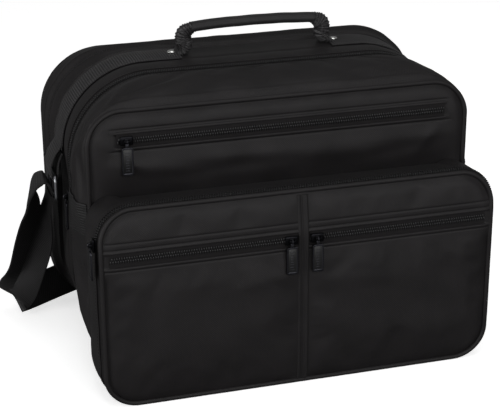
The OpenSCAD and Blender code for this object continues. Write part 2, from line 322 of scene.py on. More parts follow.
def hand_over(piece, body, look, *nodes):
    """Gives a piece its finish, its body and the CAD nodes that it stands for."""
    cover(piece, look)
    if body:
        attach(piece, body)
    if nodes:
        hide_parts(*nodes)
    return piece


# ---- shapes of the shell ----

def runs_round(s):
    """Lengths of the nine stretches of a section, from the middle of its bottom to the right."""
    corner_low, corner_top = s.low_r * math.pi / 2, s.top_r * math.pi / 2
    side = s.height - s.top_r - s.low_r
    bottom, top = s.half - s.low_r, 2 * (s.half - s.top_r)
    return [bottom, corner_low, side, corner_top, top, corner_top, side, corner_low, bottom]


RUNS = runs_round(BODY)
GIRTH = sum(RUNS)
BOTTOM_R, CORNER_LR, SIDE_R, CORNER_TR, TOP, CORNER_TL, SIDE_L, CORNER_LL, BOTTOM_L = range(9)


def way(stretch, share):
    """How far round the shell a place is, from 0 to 1."""
    return (sum(RUNS[:stretch]) + share * RUNS[stretch]) / GIRTH


def stretch_at(u):
    far = (u % 1.0) * GIRTH
    for stretch, length in enumerate(RUNS):
        if far <= length or stretch == BOTTOM_L:
            return stretch, min(far / length, 1.0)
        far -= length


def around(u, s):
    """Point (x, z) on a section and its outward normal."""
    stretch, f = stretch_at(u)
    if stretch in (BOTTOM_R, BOTTOM_L):
        return (f if stretch == BOTTOM_R else f - 1) * (s.half - s.low_r), 0.0, 0.0, -1.0
    if stretch == TOP:
        return (1 - 2 * f) * (s.half - s.top_r), s.height, 0.0, 1.0
    straight = s.height - s.top_r - s.low_r
    if stretch == SIDE_R:
        return s.half, s.low_r + f * straight, 1.0, 0.0
    if stretch == SIDE_L:
        return -s.half, s.height - s.top_r - f * straight, -1.0, 0.0
    start = {CORNER_LR: -90, CORNER_TR: 0, CORNER_TL: 90, CORNER_LL: 180}[stretch]
    low = stretch in (CORNER_LR, CORNER_LL)
    r = s.low_r if low else s.top_r
    side = 1 if stretch in (CORNER_LR, CORNER_TR) else -1
    turn = math.radians(start + 90 * f)
    nx, nz = math.cos(turn), math.sin(turn)
    return side * (s.half - r) + r * nx, (r if low else s.height - r) + r * nz, nx, nz


def between(a, b, share):
    return Section(*(p + share * (q - p) for p, q in zip(a, b)))


def section_at(y):
    """The shell's section at a depth: it swells quickly behind the front seam."""
    if y < TAPE_Y[0]:
        share = max(0.0, (y - FRONT_Y) / (TAPE_Y[0] - FRONT_Y))
        return between(FRONT, BODY, 1 - (1 - share) ** 1.35)
    if y > REAR_Y:
        share = min(1.0, (y - REAR_Y) / (BACK_Y - REAR_Y))
        return between(BODY, BACK, share ** 1.1)
    return BODY


def on_shell(u, y, lift=0.0, section=None):
    x, z, nx, nz = around(u, section or section_at(y))
    return Vector((x + nx * lift, y, z + nz * lift))


def lean(s, z):
    """How far back a panel's top edge, and a little its bottom edge, lie from its zip line."""
    start, depth = {FRONT: (248, 5.0), POCKET: (164, 6.5)}.get(s, (1000, 0.0))
    back = min(1.0, max(0.0, (z - start) / (s.height - start)))
    under = min(1.0, max(0.0, (60 - z) / 60)) if depth else 0.0
    return depth * back ** 1.2 + 2.0 * under ** 2


def half_width(s, z):
    """Half the width of a section at a height."""
    if z < s.low_r:
        return s.half - s.low_r + math.sqrt(max(0.0, s.low_r ** 2 - (s.low_r - z) ** 2))
    over = z - (s.height - s.top_r)
    if over > 0:
        return s.half - s.top_r + math.sqrt(max(0.0, s.top_r ** 2 - over ** 2))
    return s.half


def inset(s, d):
    return Section(s.half - d, s.height - 2 * d, s.top_r - d, s.low_r - d)


def levels(s, low, high, step):
    """Heights of a panel's rows: even on the straight, closer together round the corners."""
    turns = [math.cos(math.radians(a)) for a in range(0, 90, 9)]
    rows = [s.low_r * (1 - t) for t in turns] + [s.height - s.top_r * (1 - t) for t in turns]
    straight = s.height - s.low_r - s.top_r
    count = max(1, round(straight / step))
    rows += [s.low_r + straight * i / count for i in range(count + 1)]
    inside = sorted(z for z in rows if low + 0.8 < z < high - 0.8)
    return [low] + inside + [high]


def bump(distance, width):
    return math.exp(-(distance / width) ** 2)


def unevenness(p, size, height, seed=0.0):
    """Gentle unevenness of cloth."""
    return height * noise.noise(Vector(p) / size + Vector((seed, seed * 1.7, 3.1)))


# A fold of the cloth: its middle, the direction that it runs in, half its length and width,
# and how far it stands out. Middles are in the panel's own two coordinates.
Fold = namedtuple("Fold", "a b angle long wide height")


def folds_at(a, b, folds):
    total = 0.0
    for f in folds:
        turn = math.radians(f.angle)
        da, db = a - f.a, b - f.b
        along = da * math.cos(turn) + db * math.sin(turn)
        across = db * math.cos(turn) - da * math.sin(turn)
        total += f.height * bump(along, f.long) * bump(across, f.wide)
    return total


# ---- cloth simulation ----

SWELL_FRAMES = 16


def swell(piece, held, pressure, most, slack):
    """Lets air pressure and slack shape a piece whose held points stay, by a capped distance."""
    scene = bpy.context.scene
    group = piece.vertex_groups.new(name="seams")
    group.add([i for i, p in enumerate(piece.data.vertices) if held(p.co / MM)], 1.0, "REPLACE")
    before = [p.co.copy() for p in piece.data.vertices]
    pick(piece)
    made = piece.modifiers.new("Cloth", "CLOTH")
    cloth = made.settings
    cloth.quality = 6
    cloth.mass = 0.25
    cloth.tension_stiffness = cloth.compression_stiffness = 12
    cloth.shear_stiffness = 6
    cloth.bending_stiffness = 2
    cloth.use_pressure = True
    cloth.uniform_pressure_force = pressure
    cloth.shrink_min = cloth.shrink_max = -slack
    cloth.vertex_group_mass = group.name
    cloth.effector_weights.gravity = 0
    made.collision_settings.use_collision = False
    for number in range(1, SWELL_FRAMES + 1):
        scene.frame_set(number)
    shaped = piece.evaluated_get(bpy.context.evaluated_depsgraph_get())
    after = [p.co.copy() for p in shaped.data.vertices]
    bpy.ops.object.modifier_remove(modifier=made.name)
    scene.frame_set(1)
    for point, old, new in zip(piece.data.vertices, before, after):
        move = new - old
        if move.length > most * MM:
            move = move.normalized() * most * MM
        point.co = old + move
    piece.vertex_groups.clear()


# ---- materials ----

def linear(hex_colour):
    """An sRGB hex value as linear RGBA."""
    parts = [int(hex_colour[i:i + 2], 16) / 255 for i in (1, 3, 5)]
    return [c / 12.92 if c <= 0.04045 else ((c + 0.055) / 1.055) ** 2.4 for c in parts] + [1.0]


def scaled(colour, share):
    return [c * share for c in colour[:3]] + [1.0]


def node(tree, kind, inputs=(), **settings):
    """One shader node with its settings and what feeds it."""
    made = tree.nodes.new("ShaderNode" + kind)
    for name, value in settings.items():
        setattr(made, name, value)
    feed(made, dict(inputs))
    return made


def feed(target, inputs):
    """Links a node's inputs to other sockets, or sets them."""
    for socket, value in inputs.items():
        if isinstance(value, bpy.types.NodeSocket):
            target.id_data.links.new(value, target.inputs[socket])
        else:
            target.inputs[socket].default_value = value


def maths(tree, operation, *parts):
    return node(tree, "Math", dict(enumerate(parts)), operation=operation).outputs[0]


def clouds(tree, where, size, detail=3.0, roughness=0.5):
    """Noise with lumps of a size in millimetres."""
    return node(tree, "TexNoise", {"Vector": where, "Scale": 1 / (size * MM), "Detail": detail,
                                   "Roughness": roughness}).outputs["Fac"]


def mapped(tree, value, low, high, from_low=0.0, from_high=1.0):
    return node(tree, "MapRange", {"Value": value, "From Min": from_low, "From Max": from_high,
                                   "To Min": low, "To Max": high}).outputs[0]


def mixed(tree, share, a, b):
    return node(tree, "Mix", {"Factor": share, "A": a, "B": b}, data_type="RGBA").outputs["Result"]


def around_tone(tree, share, colour, contrast):
    """A colour that goes from darker to lighter with share."""
    return mixed(tree, share, scaled(colour, 1 - contrast), scaled(colour, 1 + contrast))


def raised(tree, height, strength, distance):
    return node(tree, "Bump", {"Height": height, "Strength": strength,
                               "Distance": distance * MM}).outputs[0]


def parts_of(tree, vector):
    return node(tree, "SeparateXYZ", {0: vector}).outputs


def finish_called(name):
    """A new material: its tree and its main shader."""
    made = bpy.data.materials.new(name)
    made.use_nodes = True
    return made, made.node_tree, made.node_tree.nodes["Principled BSDF"]


def coordinates(tree, chart):
    return node(tree, "TexCoord").outputs["UV" if chart else "Object"]


def woven(name, colour, pitch, chart=True, ribs=0.0, rough=0.58, sheen=0.006, contrast=0.45,
          depth=0.3):
    """Plain weave of round yarns: tiny raised squares whose tops are painted a little lighter, a
    painted highlight on each yarn, and a slow mottling where the cloth is coated unevenly."""
    made, tree, shader = finish_called(name)
    where = coordinates(tree, chart)
    turned = node(tree, "VectorMath", {0: where, 3: math.pi / (pitch * MM)},
                  operation="SCALE").outputs[0]
    parts = parts_of(tree, turned)
    cross = maths(tree, "MULTIPLY", *(maths(tree, "SINE", part)
                                      for part in (parts[0], parts[1 if chart else 2])))
    height = maths(tree, "MULTIPLY_ADD", cross, 0.5, clouds(tree, where, 2.2, roughness=0.65))
    # Painted highlight: the yarns' raised tops get a lighter base colour, over the slow mottling.
    light = maths(tree, "MULTIPLY_ADD", height, 0.6, clouds(tree, where, 34))
    tone = mapped(tree, light, 0.0, 1.0, 0.3, 1.2)
    if ribs:
        # Painted shade: between its ribs the webbing's base colour is darkened, where shadow would fall.
        turn = maths(tree, "MULTIPLY", parts_of(tree, where)[0], 2 * math.pi / (ribs * MM))
        shade = mapped(tree, maths(tree, "COSINE", turn), 1.0, 0.0, -0.2, 1.0)
        tone = maths(tree, "MULTIPLY", tone, shade)
    feed(shader, {"Base Color": around_tone(tree, tone, colour, contrast), "Roughness": rough,
                  "Normal": raised(tree, height, depth, 0.3), "IOR": 1.5, "Sheen Weight": sheen,
                  "Sheen Roughness": 0.4, "Specular IOR Level": 0.25})
    return made


def moulded(name, colour, rough, grain_mm):
    """Moulded plastic: an even colour with a fine spark-eroded grain."""
    made, tree, shader = finish_called(name)
    grain = clouds(tree, coordinates(tree, False), grain_mm, 4.0)
    feed(shader, {"Base Color": around_tone(tree, grain, colour, 0.15), "Roughness": rough,
                  "Normal": raised(tree, grain, 0.1, 0.1), "IOR": 1.49})
    return made


def plated(name, colour, rough, wear):
    """Tumbled and plated zinc: a soft metal shine, cloudy, and brighter where it is rubbed."""
    made, tree, shader = finish_called(name)
    cloudy = clouds(tree, coordinates(tree, False), 2.5, 5.0)
    feed(shader, {"Base Color": around_tone(tree, cloudy, colour, wear), "Metallic": 1.0,
                  "Roughness": mapped(tree, cloudy, rough - 0.08, rough + 0.1)})
    return made


FINISHES = {}


def make_finishes():
    c = colours()
    cloth, webbing, ribs = linear(c.cloth), linear(c.webbing), rib_pitch()
    FINISHES.update({
        # Threads are about 0.5 mm apart on the real cloth; drawn at 1.1 mm so that they show.
        "pack_cloth": woven("polyester pack cloth", cloth, 1.1, contrast=0.6, depth=0.4),
        "piping_cloth": woven("bias cut polyester over cord", cloth, 1.0, sheen=0.012),
        # Webbing ribs are real geometry; this is the yarn inside each rib, with painted shade in the
        # valleys between the ribs.
        "webbing": woven("woven polyester webbing", webbing, 0.95, ribs=ribs, rough=0.5, sheen=0.01,
                         contrast=0.75, depth=0.4),
        # The patch's ribs get the same painted shade between them.
        "patch": woven("ribbed polyester webbing, dull", scaled(webbing, 0.33), 0.95, ribs=ribs,
                       rough=0.6, contrast=0.85),
        "strap": woven("close woven polyester strap", scaled(webbing, 0.33), 0.9, rough=0.42,
                       contrast=0.5),
        "tape": woven("knitted zip tape", linear(c.tape), 0.8, rough=0.85, contrast=0.25),
        "grip": woven("close woven grip sleeve", scaled(webbing, 0.6), 0.9, rough=0.65),
        "lining": woven("plain weave nylon lining", linear(c.lining), 0.8, chart=False),
        "hidden_cloth": woven("polyester pack cloth inside", cloth, 1.1, chart=False),
        "board": moulded("polyethylene board", linear("#2f2f31"), 0.55, 1.6),
        "coil": moulded("nylon zip coil", linear(c.coil), 0.32, 0.8),
        "thread": moulded("bonded polyester thread", linear(c.thread), 0.85, 0.5),
        "acetal": moulded("moulded acetal", linear("#1a1a1b"), 0.42, 0.6),
        # A dark inlay that fills the recess of each pull's plate, darker than the pull's metal.
        "dark_inlay": moulded("dark inlay in the pulls' recess", linear("#0c0c0d"), 0.4, 0.5),
        "slider": plated("blackened zinc", scaled(linear(c.gunmetal), 0.3), 0.3, 0.3),
        "gunmetal": plated("gunmetal plated zinc", linear(c.gunmetal), 0.34, 0.25),
        "ring": plated("dark plated steel wire", linear("#8f9094"), 0.3, 0.15),
        "nickel": plated("nickel plated brass", linear(c.nickel), 0.22, 0.06),
    })


# ---- paths and small repeated pieces ----

def resample(points, step, closed=False):
    """Even spots along a line of points: (point, direction) each."""
    line = [Vector(p) for p in points]
    if closed:
        line.append(line[0])
    lengths = [(b - a).length for a, b in zip(line, line[1:])]
    total = sum(lengths)
    count = max(1, round(total / step))
    spots, leg, passed = [], 0, 0.0
    for i in range(count if closed else count + 1):
        far = min(total * i / count, total - 1e-6)
        while far > passed + lengths[leg]:
            passed += lengths[leg]
            leg += 1
        along = (line[leg + 1] - line[leg]).normalized()
        spots.append((line[leg] + along * (far - passed), along))
    return spots


def smooth_line(points, steps):
    """A smooth curve through points (Catmull-Rom)."""
    ends = [points[0] * 2 - points[1]] + list(points) + [points[-1] * 2 - points[-2]]
    line = []
    for a, b, c, d in zip(ends, ends[1:], ends[2:], ends[3:]):
        for i in range(steps):
            t = i / steps
            line.append(0.5 * (2 * b + (c - a) * t + (2 * a - 5 * b + 4 * c - d) * t * t
                               + (3 * b - a - 3 * c + d) * t ** 3))
    return line + [points[-1]]


def placed(at, along, out):
    """The frame of a small piece: X along its path, Z outwards, in metres at the right place."""
    along = Vector(along).normalized()
    out = (Vector(out) - along * along.dot(Vector(out))).normalized()
    across = out.cross(along)
    turn = Matrix((along, across, out)).transposed().to_4x4()
    return Matrix.Translation(Vector(at) * MM) @ turn


def capsule(name, size):
    """A small lozenge, in millimetres, for a stitch or a coil."""
    deselect_all()
    bpy.ops.mesh.primitive_uv_sphere_add(segments=8, ring_count=4, radius=0.5)
    piece = bpy.context.object
    piece.name = name
    piece.rotation_euler = (0, math.pi / 2, 0)
    settle_at_origin(piece)
    piece.scale = Vector(size) * MM
    settle_at_origin(piece)
    return piece


def struck(piece, start, toward):
    """Where a ray meets a piece, in millimetres."""
    hit, at, _, _ = piece.ray_cast(Vector(start) * MM, Vector(toward).normalized())
    if not hit:
        raise RuntimeError("%s isn't met from %s" % (piece.name, tuple(start)))
    return at / MM


def sew(name, lines, body, pitch=None):
    """Rows of stitches. A line is (points, cloth, toward): each stitch sits on the cloth where a
    ray in that direction, or in the direction that toward(point) gives, meets it."""
    pitch = pitch or sizes().stitch_pitch / MM
    places = []
    for points, cloth, toward in lines:
        for spot, along in resample(points, pitch):
            way_in = Vector(toward(spot) if callable(toward) else toward)
            hit, at, normal, _ = cloth.ray_cast((spot - way_in * 30) * MM, way_in)
            if hit:
                places.append(placed(at / MM + normal * 0.12, along, normal))
    stitches = copies(name, capsule("stitch", (pitch * 0.72, 0.62, 0.5)), places)
    smooth(stitches, 60)
    return hand_over(stitches, body, "thread")


def travelled(points):
    """How far along a line each of its points is."""
    far = [0.0]
    for a, b in zip(points, points[1:]):
        far.append(far[-1] + (b - a).length)
    return far


def tube(name, line, radius, sides, closed=False, up=(0, 0, 1)):
    """A round tube along a line. radius may be a number or radius(share, turn)."""
    points = [Vector(p) for p in line]
    count = len(points)
    frames = []
    previous = Vector(up)
    for i, p in enumerate(points):
        nxt = points[(i + 1) % count] if closed or i + 1 < count else p
        last = points[i - 1] if closed or i > 0 else p
        along = (nxt - last).normalized()
        side = previous.cross(along)
        if side.length < 1e-6:
            side = Vector((1, 0, 0)).cross(along)
        side.normalize()
        previous = along.cross(side)
        frames.append((p, side, previous))
    spans = count if closed else count - 1
    far = travelled(points + points[:1])

    def place(u, v):
        i = round(u * spans)
        p, side, top = frames[i % count]
        turn = 2 * math.pi * v
        r = radius(u, v) if callable(radius) else radius
        return p + side * math.cos(turn) * r + top * math.sin(turn) * r

    piece = grid_piece(name, spans, sides, place,
                       lambda u, v: (far[round(u * spans)], v * 2 * math.pi * 3))
    weld(piece)
    if not closed:
        on_open_edges(piece, bpy.ops.mesh.edge_face_add)
    face_outwards(piece)
    return piece


def ribbon(name, line, across, half, thick, columns, rib, crown=0.0):
    """Webbing along a line: across(i) gives the width direction at each of the line's points.
    Cross ribs stand out by rib, and the middle by crown. Its thickness is centred on the line."""
    pitch, rows_per_rib = rib_pitch(), 6
    points = [Vector(p) for p in line]
    far = travelled(points)
    steps = max(8, round(far[-1] / pitch * rows_per_rib))
    frames = []
    leg = 0
    for k in range(steps + 1):
        d = min(far[-1] * k / steps, far[-1] - 1e-6)
        while d > far[leg + 1]:
            leg += 1
        t = (d - far[leg]) / (far[leg + 1] - far[leg])
        spot = points[leg].lerp(points[leg + 1], t)
        along = (points[leg + 1] - points[leg]).normalized()
        wide = Vector(across(leg)).lerp(Vector(across(leg + 1)), t)
        wide = (wide - along * along.dot(wide)).normalized()
        frames.append((spot, wide, wide.cross(along), d))

    def place(u, v, face):
        spot, wide, out, d = frames[round(u * steps)]
        a = 2 * v - 1
        edge = max(0.0, 1 - abs(a) ** 6)
        ridge = rib * (0.5 - 0.5 * math.cos(2 * math.pi * d / pitch)) * edge
        lift = face * thick / 2 * (1 - 0.35 * abs(a) ** 8) + face * ridge + crown * (1 - a * a)
        return spot + wide * a * half + out * lift

    faces = [grid_piece(name + str(face), steps, columns, lambda u, v, f=face: place(u, v, f),
                        lambda u, v: (frames[round(u * steps)][3], v * 2 * half))
             for face in (1, -1)]
    piece = join(name, faces)
    on_open_edges(piece, bpy.ops.mesh.bridge_edge_loops)
    face_outwards(piece)
    smooth(piece, 50)
    return piece


COIL = (3.3, 1.25, 1.7)    # one coil: across the zip, along it, and how far it stands out
COIL_OUT = 1.5             # from the chain's middle to the middle of a coil


def zip_chain(name, spots, out):
    """Two rows of coils that lie crosswise to their path, each pushed between the other's."""
    places = []
    for i, (at, along) in enumerate(spots):
        normal = Vector(out(at))
        across = normal.cross(along).normalized()
        side = 1 if i % 2 else -1
        places.append(placed(at + across * side * COIL_OUT + normal * 0.7, across, normal))
    teeth = copies(name, capsule("coil", COIL), places)
    smooth(teeth, 60)
    return teeth


# ---- pieces ----

# How many columns of cloth each stretch of a section gets: more round its corners.
SPANS = [14, 18, 22, 26, 62, 26, 22, 18, 14]
STATIONS = [0.0] + [way(stretch, (i + 1) / count) for stretch, count in enumerate(SPANS)
                    for i in range(count)]


def strip_round(name, low, high, rows, place, crowd=1.0, girth=GIRTH):
    """Cloth that goes once round the bag between two depths, with its points at place(u, v, y).
    crowd over 1 puts more of its rows near the first depth, and girth scales its weave."""
    last = len(STATIONS) - 1

    def put(a, v):
        v = v ** crowd
        return place(STATIONS[round(a * last)], v, low + (high - low) * v)

    piece = grid_piece(name, last, rows, put,
                       lambda a, v: (STATIONS[round(a * last)] * girth,
                                     low + (high - low) * v ** crowd))
    weld(piece)
    face_outwards(piece)
    return piece


# Soft creases of the sides: the stretch each is on and its share of it, the depth, and the rest
# of a fold's measures.
GUSSET_FOLDS = [
    Fold(way(stretch, share) * GIRTH, *rest) for stretch, share, *rest in (
        (SIDE_L, 0.2, -66, 4, 48, 4, -2.6), (SIDE_L, 0.16, -54, -5, 54, 4.5, 2.6),
        (SIDE_L, 0.12, -42, 8, 44, 4, -2.6), (SIDE_L, 0.62, -62, 75, 16, 5, 1.6),
        (SIDE_L, 0.42, -34, 20, 30, 9, 2.2), (CORNER_TL, 0.75, -40, 62, 24, 9, -1.1),
        (CORNER_TL, 0.3, -38, 100, 20, 7, -1.6), (SIDE_L, 0.9, -40, -35, 36, 10, 2.4),
        (TOP, 0.25, -42, 78, 26, 10, -0.8), (TOP, 0.6, -38, 95, 24, 12, -0.7),
        (SIDE_R, 0.3, -38, 30, 30, 9, 2.0), (SIDE_R, 0.75, -42, -30, 32, 9, -2.0))
]
GUSSET_CROWD = 1.35    # how much closer the front strip's rows lie near the front panel


def soft(u):
    """1 where cloth is free to swell, 0 on the flat bottom that the bag stands on."""
    stretch, f = stretch_at(u)
    return {BOTTOM_R: 0.0, BOTTOM_L: 0.0, CORNER_LR: f, CORNER_LL: 1 - f}.get(stretch, 1.0)


class FLIGHTBAG_OT_sides(bpy.types.Operator):
    """Sews the strips of cloth that go round the bag"""
    bl_idname = "flight_bag.sides"
    bl_label = "Sides"

    def execute(self, context):
        puff = sizes().gusset_puff / MM

        def front(u, v, y):
            lift = puff * 0.55 * max(0.0, math.sin(math.pi * v)) ** 0.8
            lift += folds_at(u * GIRTH, y, GUSSET_FOLDS)
            lift += unevenness((u * GIRTH, y, 0), 26, 1.3, 4)
            lift += unevenness((u * GIRTH, y, 0), 9, 0.35, 9)
            edge = min(1.0, v * 6, (1 - v) * 6)
            # The fold beside the main zip rolls over it.
            roll = 0.9 * bump(v - 0.97, 0.05)
            return soft(u) * (lift * edge + roll - 3.4 * bump(v, 0.035) + 0.8 * bump(v - 0.08, 0.04))

        def hollow(u, y):
            """The sides cave in under the ring, where its webbing pulls the cloth out above."""
            p = on_shell(u, y)
            return -6.5 * bump(p.z - 164, 34) * (abs(p.x) > 190) * bump(y - 44, 26)

        def strip(u, v, y):
            lift = 0.9 * math.sin(math.pi * v) + unevenness((u * GIRTH, y, 0), 18, 0.5, 2) + hollow(u, y)
            return soft(u) * (lift - 1.5 * bump(v - 1, 0.09) + 0.8 * bump(v - 0.03, 0.05))

        def centre(u, v, y):
            return soft(u) * (hollow(u, y) + unevenness((u * GIRTH, y, 0), 22, 0.35, 6)
                              - 1.4 * bump(v, 0.05) - 1.4 * bump(v - 1, 0.05))

        def rear(u, v, y):
            zip_v = (REAR_ZIP_Y - REAR_Y) / (BACK_Y - 4 - REAR_Y)
            lift = puff * 0.45 * math.sin(math.pi * v) ** 0.8
            lift += 1.6 * bump(v - 0.06, 0.035) - 2.2 * bump(v, 0.03)
            lift -= 2.4 * bump(v - zip_v, 0.07)
            lift += 0.9 * bump(abs(v - zip_v) - 0.15, 0.04)
            lift += unevenness((u * GIRTH, y, 0), 24, 1.2, 8)
            return soft(u) * lift * min(1.0, (1 - v) * 8)

        def tape(u, v, _):
            return soft(u) * (-1.4 + 1.2 * abs(2 * v - 1) ** 3)

        def front_seam(p):
            return p.y < FRONT_Y + CLOTH_IN + 2.5 or p.y > TAPE_Y[0] - 1.5 or p.z < 6

        for name, low, high, rows, lift, cloth in (
                ("front_gusset", FRONT_Y + CLOTH_IN, TAPE_Y[0] + 1.5, 38, front, "pack_cloth"),
                ("main_zip_tape", *TAPE_Y, 12, tape, "tape"),
                ("zip_strip", TAPE_Y[1] - 1.5, STRIP_Y, 14, strip, "pack_cloth"),
                ("centre_strip", STRIP_Y, REAR_Y, 22, centre, "pack_cloth"),
                ("rear_gusset", REAR_Y, BACK_Y - CLOTH_IN, 34, rear, "pack_cloth")):
            in_front = lift is front

            def place(u, v, y):
                p = on_shell(u, y, lift(u, v, y))
                return p + Vector((0, lean(FRONT, p.z) * (1 - v), 0)) if in_front else p

            piece = strip_round(name + "_cloth", low, high, rows, place, GUSSET_CROWD if in_front else 1)
            if in_front:
                swell(piece, front_seam, pressure=1.8, most=2.4, slack=0.006)
            thickened(piece, 60)
            hand_over(piece, "bag", cloth, name)
        return {"FINISHED"}


def flat_panel(name, section, y, facing, lift, extra):
    """A panel of cloth across the bag that fills a section's outline. lift(x, z) pushes it
    outwards, and extra gives more heights for its rows."""
    narrow = Section(*(measure - SEAM for measure in section))
    low, high = SEAM, section.height - SEAM
    rows = sorted(set(levels(narrow, low, high, 3.4)) | set(z for z in extra if low < z < high))

    def spot(u, v):
        z = rows[round(v * (len(rows) - 1))]
        return (2 * u - 1) * half_width(narrow, z), z

    def place(u, v):
        x, z = spot(u, v)
        return x, y + facing * lift(x, z) + lean(section, z), z

    piece = grid_piece(name, 118, len(rows) - 1, place, spot)
    face_outwards(piece)
    return piece, narrow


def from_edge(x, z, s):
    """How far a place on a panel is from its outline."""
    dx, dz = half_width(s, z) - abs(x), min(z, s.height - z)
    cx, low = abs(x) - (s.half - s.low_r), s.low_r - z
    if cx > 0 and low > 0:
        return s.low_r - math.hypot(cx, low)
    cx, top = abs(x) - (s.half - s.top_r), z - (s.height - s.top_r)
    if cx > 0 and top > 0:
        return s.top_r - math.hypot(cx, top)
    return min(dx, dz)


def pressed(z, rows):
    """How far rows of stitches press the cloth in."""
    return sum(0.55 * bump(z - row, 0.8) for row in rows)


def in_window(x, z, x0, x1, z0, z1, soft_edge=0.9):
    """1 inside a zip's window and 0 outside, with a short slope between."""
    inside = min(x - x0, x1 - x, z - z0, z1 - z)
    return min(1.0, max(0.0, 0.5 + inside / soft_edge))


# Heights of the windows that the straight zips lie in, and of the rows of stitches beside them.
UPPER_WINDOW = (UPPER_ZIP_Z - 7, UPPER_ZIP_Z + 5.5)
POCKET_WINDOW = (POCKET_ZIP_Z - 7.5, POCKET_ZIP_Z + 6)
UPPER_ROWS = (UPPER_ZIP_Z + 10.5, UPPER_ZIP_Z - 11)
POCKET_ROWS = (POCKET_ZIP_Z + 16, POCKET_ZIP_Z + 10, POCKET_ZIP_Z - 11.5)
SEWN_OVER = {"front_panel": 14, "pocket_panel": 12}    # how far above its window a panel is sewn down
ZIP_DIP = 2.6
UPPER_FOLDS = [
    Fold(-160, 236, -38, 19, 4.5, 3.8), Fold(-170, 247, -62, 13, 4.5, -3.0),
    Fold(-118, 219, -8, 44, 6, 1.3), Fold(-60, 214, 4, 70, 7, -1.3), Fold(40, 219, -3, 80, 7, 1.2),
    Fold(120, 214, 5, 50, 7, -1.2), Fold(160, 232, 50, 26, 6, 1.6), Fold(-20, 268, 2, 120, 4, 0.8),
]
POCKET_FOLDS = [
    Fold(-100, 60, 12, 80, 18, 1.2), Fold(90, 50, -10, 80, 18, 1.2), Fold(-150, 110, 70, 40, 12, -1.0),
    Fold(150, 104, -68, 40, 12, -1.0), Fold(-40, 118, 8, 36, 6, 0.8), Fold(60, 110, -7, 36, 7, 0.8),
]


class FLIGHTBAG_OT_panels(bpy.types.Operator):
    """Cuts the padded front, pocket and back panels, with the dips that their zips lie in"""
    bl_idname = "flight_bag.panels"
    bl_label = "Panels"

    def execute(self, context):
        puff = sizes().panel_puff / MM

        def padding(x, z, section, full, run):
            """How far a place is from the seam round its panel, and how far it swells there."""
            d = max(0.0, from_edge(x, z, section) - 4)
            return d, full * (1 - math.exp(-d / run)) - 2.6 * bump(d - 1, 4)

        def edge_rolls(z, window):
            """The cloth's folded edges above and below a zip's window."""
            return 0.7 * (bump(z - window[0] + 1.6, 1.5) + bump(z - window[1] - 1.6, 1.5))

        def front(x, z):
            d, lift = padding(x, z, FRONT, puff * 0.6, 30)
            lift += folds_at(x, z, UPPER_FOLDS) + unevenness((x, z, 0), 34, 1.2, 1)
            # It draws in towards the pocket, and stays in behind it.
            lift -= 4.5 * bump(max(0.0, z - 192), 20) * (1 - math.exp(-d / 14))
            low, high = UPPER_WINDOW
            x0, x1 = UPPER_ZIP_X
            near = in_window(x, z, x0 - 9, x1 + 9, low - 11, high + 10, 14)
            rolls = edge_rolls(z, UPPER_WINDOW) * in_window(x, z, x0, x1, low - 20, high + 20, 6)
            seams = pressed(z, UPPER_ROWS) * (x0 - 6 < x < x1 + 4)
            dip = ZIP_DIP * in_window(x, z, x0, x1, low, high)
            return lift * (1 - near) + near * 0.7 + rolls - dip - seams

        def pocket(x, z):
            lift = padding(x, z, POCKET, puff * 0.4, 26)[1]
            lift += folds_at(x, z, POCKET_FOLDS) + unevenness((x, z, 0), 40, 0.9, 5)
            lift *= 1 - 0.9 * bump(x, 12)
            low, high = POCKET_WINDOW
            near = in_window(x, z, -196, 196, low - 9, high + 9, 16)
            rolls = edge_rolls(z, POCKET_WINDOW) * (abs(x) > 6)
            dip = ZIP_DIP * max(in_window(x, z, *reach, low, high) for reach in POCKET_ZIP_X)
            return lift * (1 - near) + near * 0.8 + rolls - dip - pressed(z, POCKET_ROWS)

        def back(x, z):
            d = max(0.0, from_edge(x, z, BACK) - 4)
            return 2.0 * (1 - math.exp(-d / 26)) - 1.0 * bump(d, 3) + unevenness((x, z, 0), 40, 0.8, 7)

        def beside(*heights):
            return [z + d for z in heights for d in (-1.4, -0.7, -0.3, 0, 0.3, 0.7, 1.4)]

        for name, section, y, facing, lift, window, rows in (
                ("front_panel", FRONT, FRONT_Y, -1, front, UPPER_WINDOW, UPPER_ROWS),
                ("pocket_panel", POCKET, POCKET_Y, -1, pocket, POCKET_WINDOW, POCKET_ROWS),
                ("back_panel", BACK, BACK_Y, 1, back, (), ())):
            piece, narrow = flat_panel(name + "_cloth", section, y - facing * 0.6, facing, lift,
                                       beside(*window, *rows))
            # The zip's surroundings and the pocket's middle are sewn down.
            low, high = (window[0] - 12, window[1] + SEWN_OVER[name]) if window else (0, 0)
            split = lift is pocket

            def held(p):
                return (from_edge(p.x, p.z, narrow) < 6 or low < p.z < high or p.z < 9
                        or (split and abs(p.x) < 8))
            swell(piece, held, pressure=1.4, most=1.8, slack=0.003)
            thickened(piece, 50)
            hand_over(piece, "bag", "pack_cloth", name)
        return {"FINISHED"}


